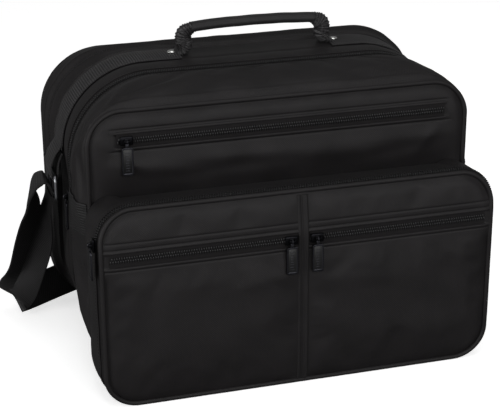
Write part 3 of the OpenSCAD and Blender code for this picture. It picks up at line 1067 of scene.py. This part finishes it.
class FLIGHTBAG_OT_pocket_sides(bpy.types.Operator):
    """Sews the box pocket's sides and its zip tape"""
    bl_idname = "flight_bag.pocket_sides"
    bl_label = "Pocket sides"

    def execute(self, context):
        puff = sizes().gusset_puff / MM
        split = POCKET_ZIP_Y + 6.5    # the depth at which the zip's tape ends

        def ring(name, low, high, rows, lift, cloth, stands_for):
            def place(u, v, y):
                p = on_shell(u, y, lift(u, v, y), POCKET)
                return p + Vector((0, lean(POCKET, p.z) * (0.2 + 0.8 * (1 - v)) * (low < split - 3), 0))

            piece = strip_round(name, low, high, rows, place, girth=GIRTH * 0.87)
            thickened(piece, 60)
            hand_over(piece, "bag", cloth, stands_for)

        def side(u, v, y):
            lift = puff * 0.4 * math.sin(math.pi * v) + unevenness((u * 900, y, 0), 22, 1.1, 12)
            # Its top slopes down to the front panel.
            stretch, f = stretch_at(u)
            over = {TOP: 1.0, CORNER_TR: f, CORNER_TL: 1 - f}.get(stretch, 0.0)
            drop = 12 * over * over * v
            lift = lift * (1 - 0.8 * over) + 0.8 * bump(v - 0.04, 0.06)
            return soft(u) * (lift * min(1, (1 - v) * 7) - drop - 0.6 * bump(v - 1, 0.06))

        def tape(u, v, _):
            return soft(u) * (-1.3 + 1.1 * abs(2 * v - 1) ** 3)

        ring("pocket_gusset_cloth", split - 1.2, FRONT_Y + 1.0, 26, side, "pack_cloth", "pocket_gusset")
        ring("pocket_zip_tape_cloth", POCKET_Y + 4.2, split, 10, tape, "tape", "pocket_top_zip_tape")
        return {"FINISHED"}


class FLIGHTBAG_OT_piping(bpy.types.Operator):
    """Runs a covered cord round each of the three panels"""
    bl_idname = "flight_bag.piping"
    bl_label = "Piping"

    def execute(self, context):
        for name, section, y in (("front_piping", FRONT, FRONT_Y + 2.5),
                                 ("pocket_piping", POCKET, POCKET_Y + 2.5),
                                 ("back_piping", BACK, BACK_Y - 2.5)):
            line = [on_shell(u, y, 0, inset(section, PIPING_R)) + Vector((0, 0, PIPING_R))
                    for u in STATIONS[:-1]]
            line = [p + Vector((0, lean(section, p.z), 0)) for p in line]
            spots = [p for p, _ in resample(line, 2.4, closed=True)]
            piece = tube(name + "_cord", spots, lambda u, v: PIPING_R * (0.97 + 0.035 * noise.noise(
                Vector((u * 260, v * 3, y)))), 14, closed=True, up=(0, 1, 0))
            smooth(piece, 60)
            hand_over(piece, "bag", "piping_cloth", name)
        return {"FINISHED"}


def arch(section, y, side_z, lift=0.0):
    """A line along a section from a height on its right side over the top to its left side."""
    line = [on_shell(u, y, lift, section) for u in STATIONS[1:-1]]
    return [p for p in line if p.z > side_z]


def out_of(section):
    """A function that gives a section's outward direction at a point."""
    inner = section.half - section.top_r, section.height - section.top_r

    def outward(p):
        dx, dz = max(0.0, abs(p.x) - inner[0]), max(0.0, p.z - inner[1])
        if dx < 1e-6 and dz < 1e-6:
            return Vector((math.copysign(1, p.x), 0, 0))
        return Vector((math.copysign(dx, p.x), 0, dz)).normalized()
    return outward


class FLIGHTBAG_OT_zips(bpy.types.Operator):
    """Lays the zips: coils in every chain, and tape in the straight ones"""
    bl_idname = "flight_bag.zips"
    bl_label = "Zips"

    def execute(self, context):
        step = sizes().tooth_pitch / MM / 2
        for name, section, y, stands_for, lift in (
                ("main_zip_coils", BODY, MAIN_ZIP_Y, "main_zip_chain", -0.4),
                ("rear_zip_coils", section_at(REAR_ZIP_Y), REAR_ZIP_Y, "rear_zip_chain", -0.6),
                ("pocket_zip_coils", POCKET, POCKET_ZIP_Y, "pocket_top_zip_chain", 0.2)):
            line = arch(section, y, box_mm(stands_for)[0].z, lift)
            piece = zip_chain(name, resample(line, step), out_of(section))
            hand_over(piece, "bag", "coil", stands_for)
        for name, y, z in (("upper", FRONT_Y, UPPER_ZIP_Z - 0.5),
                           ("left_pocket", POCKET_Y, POCKET_ZIP_Z),
                           ("right_pocket", POCKET_Y, POCKET_ZIP_Z)):
            (x0, _, low), (x1, _, high) = box_mm(name + "_zip")

            def lay(u, v):
                dip = 0.5 * bump(v - 0.5, 0.12) + 0.15 * noise.noise(Vector((u * 60, v * 9, y)))
                return x0 + (x1 - x0) * u, y + 1.3 - dip, low + (high - low) * v
            tape = grid_piece(name + "_tape", 120, 14, lay,
                              lambda u, v: (x0 + (x1 - x0) * u, low + (high - low) * v))
            face_outwards(tape)
            thickened(tape, 40, 0.7 * MM, 0)
            hand_over(tape, "bag", "tape", name + "_zip")
            spots = resample([(x0 + 1, y + 0.7, z), (x1 - 1, y + 0.7, z)], step)
            coils = zip_chain(name + "_coils", spots, lambda p: Vector((0, -1, 0)))
            hand_over(coils, "bag", "coil")
        return {"FINISHED"}


class FLIGHTBAG_OT_band(bpy.types.Operator):
    """Sews the band down the middle of the pocket"""
    bl_idname = "flight_bag.band"
    bl_label = "Pocket band"

    def execute(self, context):
        low, high = box_mm("pocket_band")

        def place(u, v):
            x = low.x + (high.x - low.x) * u
            z = low.z + (high.z - low.z) * v
            side = abs(2 * u - 1)
            # A roll stands up along each edge, with the seam sunk between them.
            lift = 0.5 + 0.7 * bump(side - 0.66, 0.3) - 0.4 * bump(side - 0.36, 0.05)
            lift -= 0.9 * max(0.0, side - 0.93) * 14 + 0.35 * bump(side, 0.1)
            lift += unevenness((x, z, 0), 30, 0.5, 5)
            return x, POCKET_Y - lift + lean(POCKET, z), z

        piece = grid_piece("pocket_band_cloth", 24, 110, place,
                           lambda u, v: (u * (high.x - low.x), v * (high.z - low.z)))
        face_outwards(piece)
        thickened(piece, 60, 1.6 * MM)
        hand_over(piece, "bag", "pack_cloth", "pocket_band")
        return {"FINISHED"}


class FLIGHTBAG_OT_stitching(bpy.types.Operator):
    """Sews rows of stitches beside the zips, along the bands and round the strips"""
    bl_idname = "flight_bag.stitching"
    bl_label = "Stitching"

    def execute(self, context):
        objects = bpy.data.objects
        front, pocket = objects["front_panel_cloth"], objects["pocket_panel_cloth"]
        band = objects["pocket_band_cloth"]
        back_way = (0, 1, 0)
        x0, x1 = UPPER_ZIP_X
        up, low = UPPER_ROWS
        lines = [([(x0 - 3, FRONT_Y, z), (x1 + 3, FRONT_Y, z)], front, back_way) for z in (up, low)]
        lines += [([(x, FRONT_Y, low), (x, FRONT_Y, up)], front, back_way)
                  for x in (x0 - 3, x0 - 7, x1 + 3)]
        lines += [([(start, POCKET_Y, z), (end, POCKET_Y, z)], pocket, back_way)
                  for start, end in ((-190, -7), (7, 190)) for z in POCKET_ROWS]
        lines += [([(x, POCKET_Y, 8), (x, POCKET_Y, 198)], band, back_way) for x in (-3.9, 3.9)]
        sew("panel_stitches", lines, "bag")

        def inward(section):
            outward = out_of(section)
            return lambda p: -outward(p)

        sew("strip_stitches", [
            (arch(section, y, 20), objects[cloth], inward(section)) for y, cloth, section in (
                (TAPE_Y[0] - 2, "front_gusset_cloth", BODY),
                (TAPE_Y[1] + 1.8, "zip_strip_cloth", BODY),
                (STRIP_Y - 2, "zip_strip_cloth", BODY),
                (REAR_Y + 5, "rear_gusset_cloth", BODY),
                (REAR_ZIP_Y - 8, "rear_gusset_cloth", BODY),
                (REAR_ZIP_Y + 8, "rear_gusset_cloth", BODY),
                (POCKET_ZIP_Y + 9.5, "pocket_gusset_cloth", POCKET))], "bag")
        return {"FINISHED"}


# ---- webbing, rings and handle ----

LOOP_TOP_Z = 214        # where the side webbing ends in the ring's loop
BAND_OUT = 0.9          # how far the webbing band's middle lies outside the cloth


class FLIGHTBAG_OT_webbing(bpy.types.Operator):
    """Sews the ribbed webbing over the corners, the side patches and the ring loops"""
    bl_idname = "flight_bag.webbing"
    bl_label = "Webbing"

    def execute(self, context):
        gusset = bpy.data.objects["front_gusset_cloth"]
        across_top = BODY.half - BODY.top_r
        for side, name in ((-1, "left"), (1, "right")):
            def at(x, z):
                return Vector((side * x, BAND_Y, z))

            low, high = box_mm(name + "_webbing_band")
            end_x = (-high.x if side < 0 else low.x) - 11
            line = [at(end_x + (across_top - end_x) * i / 20, BODY.height + BAND_OUT)
                    for i in range(20)]
            for i in range(41):
                turn, r = math.radians(90 * i / 40), BODY.top_r + BAND_OUT
                line.append(at(across_top + r * math.sin(turn),
                               BODY.height - BODY.top_r + r * math.cos(turn)))
            line.append(at(BODY.half + BAND_OUT, LOOP_TOP_Z))
            band = ribbon(name + "_band", line, lambda i: (0, 1, 0), 18.4, 1.5, 22, 0.9, 0.3)
            hand_over(band, "bag", "webbing", name + "_webbing_band")

            # The loop runs down from the band, round the ring's bar and back up behind itself.
            ring = box_mm(name + "_strap_ring")
            bar = at(abs(ring[0].x + ring[1].x) / 2, ring[1].z - 2)
            path = [at(201.9, 220), at(203.5, 213), at(209.5, 205), at(214.2, 194)]
            for i in range(12):
                turn = math.radians(40 - 20 * i)
                path.append(bar + Vector((side * math.cos(turn), 0, math.sin(turn))) * 3.3)
            path += [at(207.4, 188), at(205.6, 198), at(202.0, 206)]
            loop = ribbon(name + "_loop", smooth_line(path, 6), lambda i: (0, 1, 0), 17.6, 1.3, 20, 0.7)
            hand_over(loop, "bag", "webbing", name + "_anchor_loop")

            # A slanting reinforcement of ribbed webbing on the side.
            low, high = box_mm(name + "_rib_patch")
            foot, tall = low.z + 12, high.z - low.z - 12

            def patch(u, v):
                y, z = low.y - 2 + (high.y - low.y + 6) * u, foot + 2 * u + tall * v
                ridge = 0.6 * (0.5 - 0.5 * math.cos(2 * math.pi * z / rib_pitch()))
                bulge = struck(gusset, (side * 240, y, z), (-side, 0, 0)).x * side
                edge = min(u, 1 - u, v, 1 - v)
                out = bulge + 1.5 + ridge * min(1.0, edge * 14) - 0.7 * bump(edge, 0.012)
                return side * out, y, z

            piece = grid_piece(name + "_patch", 40, 110, patch, lambda u, v: (foot + tall * v, u * 50))
            face_outwards(piece)
            thickened(piece, 50, 1.4 * MM, 0)
            hand_over(piece, "bag", "patch", name + "_rib_patch")
        return {"FINISHED"}


class FLIGHTBAG_OT_rings(bpy.types.Operator):
    """Bends the two rectangular wire rings"""
    bl_idname = "flight_bag.rings"
    bl_label = "Strap rings"

    def execute(self, context):
        for name in ("left", "right"):
            low, high = box_mm(name + "_strap_ring")
            middle, half = (low + high) / 2, (high - low) / 2
            r, corner_r = half.x, 5
            wide, tall = half.y - r - corner_r, half.z - r - corner_r
            line = []
            for corner, (sy, sz) in enumerate(((1, 1), (-1, 1), (-1, -1), (1, -1))):
                for i in range(9):
                    turn = math.radians(90 * corner + 90 * i / 8)
                    line.append(middle + Vector((0, sy * wide + corner_r * math.cos(turn),
                                                 sz * tall + corner_r * math.sin(turn))))
            ring = tube(name + "_ring", line, r, 16, closed=True, up=(1, 0, 0))
            smooth(ring, 60)
            hand_over(ring, "bag", "ring", name + "_strap_ring")
        return {"FINISHED"}


class FLIGHTBAG_OT_handle(bpy.types.Operator):
    """Twists the handle's webbing up into its sewn sleeve and rivets it down"""
    bl_idname = "flight_bag.handle"
    bl_label = "Handle"

    def execute(self, context):
        low, high = box_mm("handle_grip")
        rivets = box_mm("handle_rivets")
        top = high.z - 4.2
        half, middle = (high.x - low.x) / 2 - 3.5, (high.x + low.x) / 2

        def spine(share):
            """The sleeve's slightly arched middle line."""
            return Vector((middle + half * share, BAND_Y, top - 2.6 * abs(share) ** 2.4))

        # Two folded edges and a sewn seam run along the sleeve.
        def girth(u, v):
            turn = 2 * math.pi * v
            groove = 0.5 * bump((v * 2 + 0.15) % 1 - 0.5, 0.05)
            groove += 0.3 * bump((v * 2 + 0.34) % 1 - 0.5, 0.03)
            end = 1 - 0.25 * max(0.0, abs(2 * u - 1) - 0.96) * 25
            return (7.2 - 1.7 * abs(math.sin(turn)) - groove
                    + 0.25 * noise.noise(Vector((u * 9, v * 4, 2)))) * end

        sleeve = tube("handle_sleeve", [spine(-1 + 2 * i / 90) for i in range(91)], girth, 48)
        smooth(sleeve, 50)
        hand_over(sleeve, "handle", "grip", "handle_grip")

        sew("sleeve_stitches", [([spine(share) + Vector((0, y, 0)) for share in (-0.97, 0, 0.97)],
                                 sleeve, (0, 0, -1)) for y in (-4.1, 2.4)], "handle", 2.8)

        for side, word in ((-1, "left"), (1, "right")):
            rivet_x = rivets[0].x + 4.2 if side < 0 else rivets[1].x - 4.2
            foot = Vector((rivet_x, BAND_Y, BODY.height + 2.0))
            inside = spine(side * 0.93)

            def up_from_foot(inwards, rise):
                return foot + Vector((-side * inwards, 0, rise))

            path = [up_from_foot(-3, -0.6), up_from_foot(3, 0.2), up_from_foot(8, 2),
                    up_from_foot(11.5, 8), up_from_foot(10.5, 14), up_from_foot(12, 20),
                    up_from_foot(17, 24).lerp(inside, 0.3), inside]

            def section(u, v):
                # Flat at the rivet, then folded and twisted into a thick cord.
                turn = 2 * math.pi * v
                flat = max(0.0, 1 - u / 0.4)
                wide, thin = 8.4 + 1.0 * flat, 5.8 - 4.8 * flat
                if u > 0.8:
                    wide, thin = (part + (5.4 - part) * (u - 0.8) * 5 for part in (wide, thin))
                twist = turn - (1 - flat) * 2.4 * u
                r = wide * thin / math.hypot(thin * math.cos(twist), wide * math.sin(twist))
                rib = 0.55 * math.sin(2 * math.pi * (u * 21 + (1 - flat) * 2 * v))
                return r + rib * min(1.0, u * 12)

            spots = [p for p, _ in resample(smooth_line(path, 14), 0.5)]
            root = tube("handle_root_" + word, spots, section, 40)
            smooth(root, 60)
            hand_over(root, None, "webbing", *(("handle_webbing", "handle_tabs") if side < 0 else ()))
            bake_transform(root)

            deselect_all()
            bpy.ops.mesh.primitive_uv_sphere_add(segments=28, ring_count=14, radius=3.6 * MM,
                                                 location=up_from_foot(-2, 1.2) * MM)
            rivet = bpy.context.object
            rivet.name = "handle_rivet_" + word
            rivet.scale = (1.35, 1.1, 0.5)
            settle_at_origin(rivet)
            smooth(rivet, 60)
            hand_over(rivet, "bag", "nickel", *(("handle_rivets",) if side < 0 else ()))
        return {"FINISHED"}


# ---- shoulder strap ----

# Half of the strap's route: (x, y, z) and the direction of its width, close to the frame's route.
STRAP_ROUTE = [
    ((-215.5, 56, 163), (0, 1, 0)), ((-217, 57, 148), (0, 1, 0)), ((-219, 61, 130), (-0.15, 0.95, 0.08)),
    ((-223, 70, 103), (-0.3, 0.9, 0.3)), ((-234, 86, 66), (-0.42, 0.75, 0.5)),
    ((-244, 100, 38), (-0.44, 0.38, 0.81)), ((-249, 107, 27), (-0.46, 0.27, 0.85)),
    ((-252, 110.5, 22), (-0.46, 0.26, 0.85)), ((-247, 114, 21.5), (-0.46, 0.25, 0.85)),
    ((-236, 118, 21), (-0.2, 0.1, 0.97)), ((-225, 123, 20.5), (0, 0, 1)), ((-200, 138, 21), (0, 0, 1)),
    ((-165, 158, 22), (0, 0, 1)), ((-125, 186, 23), (0, 0, 1)), ((-75, 210, 24), (0, 0, 1)),
    ((0, 222, 24), (0, 0, 1)),
]
# The other layer: it leaves the ring outwards, twists behind the first, and meets it at the fold.
OUTER_ROUTE = [
    ((-215, 56, 164), (0, 1, 0)), ((-216.5, 56, 172), (0, 1, 0)), ((-221, 56.5, 176), (0, 1, 0)),
    ((-229.5, 58, 171), (0.05, 1, 0)), ((-234.5, 62, 157), (0.22, 0.97, 0)),
    ((-234, 70, 135), (0.56, 0.82, 0)), ((-238, 81, 104), (0.72, 0.68, 0.05)),
    ((-243, 94, 70), (0.7, 0.6, -0.1)), ((-247.5, 105, 42), (0.6, 0.2, -0.6)),
    ((-252, 111, 22), (0.44, -0.27, -0.86)),
]
STRAP_HALF_WIDTH = 20
STRAP_THICK = 2.4


class FLIGHTBAG_OT_strap(bpy.types.Operator):
    """Weaves the shoulder strap: both layers at each ring and the strand behind the bag"""
    bl_idname = "flight_bag.strap"
    bl_label = "Shoulder strap"

    def execute(self, context):
        def flip(route):
            return [((-p[0], p[1], p[2]), (-w[0], w[1], w[2])) for p, w in route]

        def smoothed(route, part):
            return smooth_line([Vector(stop[part]) for stop in route], 10)

        def weave(name, route):
            widths = smoothed(route, 1)
            return ribbon(name, smoothed(route, 0), lambda i: widths[i], STRAP_HALF_WIDTH, STRAP_THICK,
                          16, 0.3, 0.25)

        def length(route):
            return travelled(smoothed(route, 0))[-1] * MM

        whole = STRAP_ROUTE + flip(STRAP_ROUTE[:-1])[::-1]
        strap = join("shoulder_strap_webbing", [
            weave("strap_main", whole), weave("strap_left", OUTER_ROUTE),
            weave("strap_right", flip(OUTER_ROUTE))])
        face_outwards(strap)
        hand_over(strap, None, "strap", "shoulder_strap", "left_strap_end", "right_strap_end")
        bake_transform(strap)
        return {"FINISHED"}


# ---- sliders and pulls ----

SLIDER_LONG, SLIDER_WIDE = 13, 9
# The pull's plate: its size, its middle below the pin, and the width of its rim.
PLATE, PLATE_Z, RIM = (11.5, 1.8, 28.6), -20.1, 1.3


def slider_pattern(upright):
    """A zip slider that faces -Y, with its pin in front of the origin."""
    u, v = (SLIDER_WIDE, SLIDER_LONG) if upright else (SLIDER_LONG, SLIDER_WIDE)
    blocks = [block("slider", (u, 2.6, v), (0, -3.1, 0), 1.2, 3),
              block("skirt", (u - 1.2, 1.0, v - 1.2), (0, -1.2, 0), 0.4),
              block("crown", (4.4, 1.5, 7.4 if upright else 6.2), (0, -4.9, 0), 0.7, 3)]
    posts = [block("post", (1.3, 3.6, 3.4), (s * 2.6, -5.9, 0), 0.5, 3) for s in (-1, 1)]
    deselect_all()
    bpy.ops.mesh.primitive_cylinder_add(vertices=16, radius=0.85 * MM, depth=5.8 * MM,
                                        location=(0, -PIN_OUT * MM, 0), rotation=(0, math.pi / 2, 0))
    pin = bpy.context.object
    settle_at_origin(pin)
    return join("slider", blocks + [pin] + posts)


def pull_pattern():
    """A pull tab that hangs in front of the origin: an eye, a neck and a ribbed plate."""
    deselect_all()
    bpy.ops.mesh.primitive_torus_add(major_segments=24, minor_segments=10, major_radius=1.75 * MM,
                                     minor_radius=0.8 * MM, location=(0, 0, 0),
                                     rotation=(0, math.pi / 2, 0))
    eye = bpy.context.object
    settle_at_origin(eye)
    neck = block("neck", (3.4, 1.7, 5), (0, 0, -4.2), 0.6, 3)
    plate = block("plate", PLATE, (0, 0, PLATE_Z), 0)

    def choose(parts, wanted):
        """Selects the plate's edges or faces that are wanted, between two edit steps."""
        bpy.ops.object.mode_set(mode="OBJECT")
        for part in parts():
            part.select = wanted(part)
        bpy.ops.object.mode_set(mode="EDIT")

    def through(edge):
        a, b = (plate.data.vertices[i].co for i in edge.vertices)
        return abs(a.y - b.y) > 1e-6

    on_some(plate, "EDGE", lambda: choose(lambda: plate.data.edges, through),
            lambda: bpy.ops.mesh.bevel(offset=2.6 * MM, segments=5))
    on_some(plate, "FACE",
            lambda: choose(lambda: plate.data.polygons, lambda face: abs(face.normal.y) > 0.9),
            lambda: bpy.ops.mesh.inset(thickness=RIM * MM, depth=0),
            lambda: bpy.ops.mesh.inset(thickness=0.35 * MM, depth=-0.35 * MM))
    apply_modifier(plate, "BEVEL", width=0.28 * MM, segments=2, limit_method="ANGLE")
    ridges = [block("ridge", (4.6, 1.75, 0.8), (0, 0, -10.8 - 2.6 * i)) for i in range(8)]
    lip = block("lip", (8.8, 2.5, 2.0), (0, 0, -32.4), 0.7, 3)
    inlay = block("inlay", (8.4, 1.3, 23.6), (0, 0, -19.4))
    return join("pull", [plate, eye, neck, lip] + ridges), inlay


class FLIGHTBAG_OT_sliders(bpy.types.Operator):
    """Casts one slider and one pull tab, and hangs a copy of each on every zip"""
    bl_idname = "flight_bag.sliders"
    bl_label = "Sliders and pulls"

    def execute(self, context):
        patterns = [slider_pattern(False), slider_pattern(True), *pull_pattern()]
        for pattern in patterns:
            smooth(pattern, 35)
        *slider_ways, tab, inlay = patterns
        for zip_name, upright in (("upper", False), ("left_pocket", False), ("right_pocket", False),
                                  ("pocket_top", True), ("main", True), ("rear", True)):
            body = zip_name + "_zip"
            turn = Matrix.Rotation(math.radians(-90 * upright), 4, "Z")
            at_pin = Matrix.Translation(joint_mm(body + "_tab_swing") * MM) @ turn
            for pattern, kind, out, rides_on, metal in (
                    (slider_ways[upright], "slider", PIN_OUT, "_runner", "slider"),
                    (tab, "pull", 0, "_tab", "gunmetal"), (inlay, "pull_inlay", 0, "_tab", "dark_inlay")):
                piece = bpy.data.objects.new("%s_%s_metal" % (zip_name, kind), pattern.data.copy())
                bpy.context.scene.collection.objects.link(piece)
                piece.matrix_world = at_pin @ Matrix.Translation((0, out * MM, 0))
                settle_at_origin(piece)
                hand_over(piece, body + rides_on, metal,
                          *(() if pattern is inlay else (zip_name + "_" + kind,)))
        for pattern in patterns:
            bpy.data.objects.remove(pattern)
        return {"FINISHED"}


class FLIGHTBAG_OT_insides(bpy.types.Operator):
    """Colours the pieces that show as the frame made them"""
    bl_idname = "flight_bag.insides"
    bl_label = "Inside pieces"

    def execute(self, context):
        kept = {"base_panel": "hidden_cloth", "base_board": "board", "divider_panel": "hidden_cloth",
                "main_lining": "lining", "slip_pocket": "lining", "front_pocket_bag": "lining",
                "strap_adjuster": "acetal"}
        for name, cloth in kept.items():
            cover(frame["nodes"][name], cloth)
        return {"FINISHED"}


# ---- stage ----

# How much light the floor and the backdrop give the bag, against how they look, and the floor's
# own light for the camera.
FLOOR_BOUNCE, BACKDROP_LIGHT, FLOOR_GLOW = 0.22, 0.2, 0.62
# A broad top light, a key from the left, and a weaker one from the front on the right: where
# each is, how high it aims, its size and its power in watts.
LIGHTS = (("top", (0.1, -0.5, 2.8), 0.2, 1.6, 16.5), ("left", (-3.1, -1.3, 0.8), 0.15, 1.8, 62),
          ("front", (0.4, -3.0, 1.3), 0.15, 2.8, 60))
CAMERA_AT = (-0.41331, -1.35810, 0.69761)
CAMERA_HEADING, CAMERA_DOWN, CAMERA_ROLL = -16.379, 21.465, -0.334    # in degrees
LENS = 104.63    # in millimetres

class FLIGHTBAG_OT_stage(bpy.types.Operator):
    """Sets the floor, the soft lights and the camera"""
    bl_idname = "flight_bag.stage"
    bl_label = "Stage"

    def execute(self, context):
        scene = context.scene
        deselect_all()
        bpy.ops.mesh.primitive_plane_add(size=14)
        floor = context.object
        floor.name = "floor"
        made, tree, shader = finish_called("matt studio floor")
        # Looked at, the floor is pale; it throws little light back, as a table under a bag does.
        seen = node(tree, "LightPath").outputs["Is Camera Ray"]
        pale = linear(colours().floor)
        feed(shader, {"Base Color": mixed(tree, seen, scaled(pale, FLOOR_BOUNCE), pale),
                      "Emission Strength": maths(tree, "MULTIPLY", seen, FLOOR_GLOW),
                      "Emission Color": (1, 1, 1, 1), "Roughness": 0.9})
        floor.data.materials.append(made)

        world = bpy.data.worlds.new("studio")
        scene.world = world
        world.use_nodes = True
        tree = world.node_tree
        # The backdrop is white to look at, and lights the bag less than it looks.
        seen = node(tree, "LightPath").outputs["Is Camera Ray"]
        feed(tree.nodes["Background"], {"Color": (1, 1, 1, 1),
                                        "Strength": mapped(tree, seen, BACKDROP_LIGHT, 1.0)})
        for name, spot, aim_z, size, power in LIGHTS:
            data = bpy.data.lights.new(name, "AREA")
            data.size, data.energy = size, power
            light = bpy.data.objects.new(name, data)
            scene.collection.objects.link(light)
            light.location = spot
            way_out = Vector((0, 0, aim_z)) - Vector(spot)
            light.rotation_euler = way_out.to_track_quat("-Z", "Y").to_euler()

        lens = bpy.data.cameras.new("camera")
        lens.sensor_width, lens.lens = 36.0, LENS
        camera = bpy.data.objects.new("camera", lens)
        scene.collection.objects.link(camera)
        camera.matrix_world = (Matrix.Translation(CAMERA_AT)
                               @ Matrix.Rotation(math.radians(CAMERA_HEADING), 4, "Z")
                               @ Matrix.Rotation(math.radians(90 - CAMERA_DOWN), 4, "X")
                               @ Matrix.Rotation(math.radians(CAMERA_ROLL), 4, "Z"))
        scene.camera = camera
        scene.view_settings.view_transform = "Standard"
        return {"FINISHED"}


class FLIGHTBAG_PT_panel(bpy.types.Panel):
    """Builds the bag and holds its sizes and colours"""
    bl_idname = "FLIGHTBAG_PT_panel"
    bl_label = "Flight Bag"
    bl_space_type = "VIEW_3D"
    bl_region_type = "UI"
    bl_category = "Flight Bag"

    def draw(self, context):
        for operator in BUILD_ORDER:
            self.layout.operator(operator.bl_idname)
        for group in (context.scene.flight_bag_sizes, context.scene.flight_bag_colours):
            box = self.layout.box()
            for name in group.bl_rna.properties.keys():
                if name not in ("rna_type", "name"):
                    box.prop(group, name)


BUILD_ORDER = [
    FLIGHTBAG_OT_sides, FLIGHTBAG_OT_panels, FLIGHTBAG_OT_pocket_sides, FLIGHTBAG_OT_piping,
    FLIGHTBAG_OT_band, FLIGHTBAG_OT_zips, FLIGHTBAG_OT_stitching, FLIGHTBAG_OT_webbing,
    FLIGHTBAG_OT_rings, FLIGHTBAG_OT_handle, FLIGHTBAG_OT_strap, FLIGHTBAG_OT_sliders,
    FLIGHTBAG_OT_insides, FLIGHTBAG_OT_stage,
]
CLASSES = [FlightBagSizes, FlightBagColours, *BUILD_ORDER, FLIGHTBAG_PT_panel]


def register():
    for made in CLASSES:
        bpy.utils.register_class(made)
    bpy.types.Scene.flight_bag_sizes = bpy.props.PointerProperty(type=FlightBagSizes)
    bpy.types.Scene.flight_bag_colours = bpy.props.PointerProperty(type=FlightBagColours)


def unregister():
    del bpy.types.Scene.flight_bag_colours
    del bpy.types.Scene.flight_bag_sizes
    for made in reversed(CLASSES):
        bpy.utils.unregister_class(made)


def main():
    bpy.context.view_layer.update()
    register()
    make_finishes()
    for operator in BUILD_ORDER:
        group, name = operator.bl_idname.split(".")
        getattr(getattr(bpy.ops, group), name)()


if __name__ == "__main__":
    main()
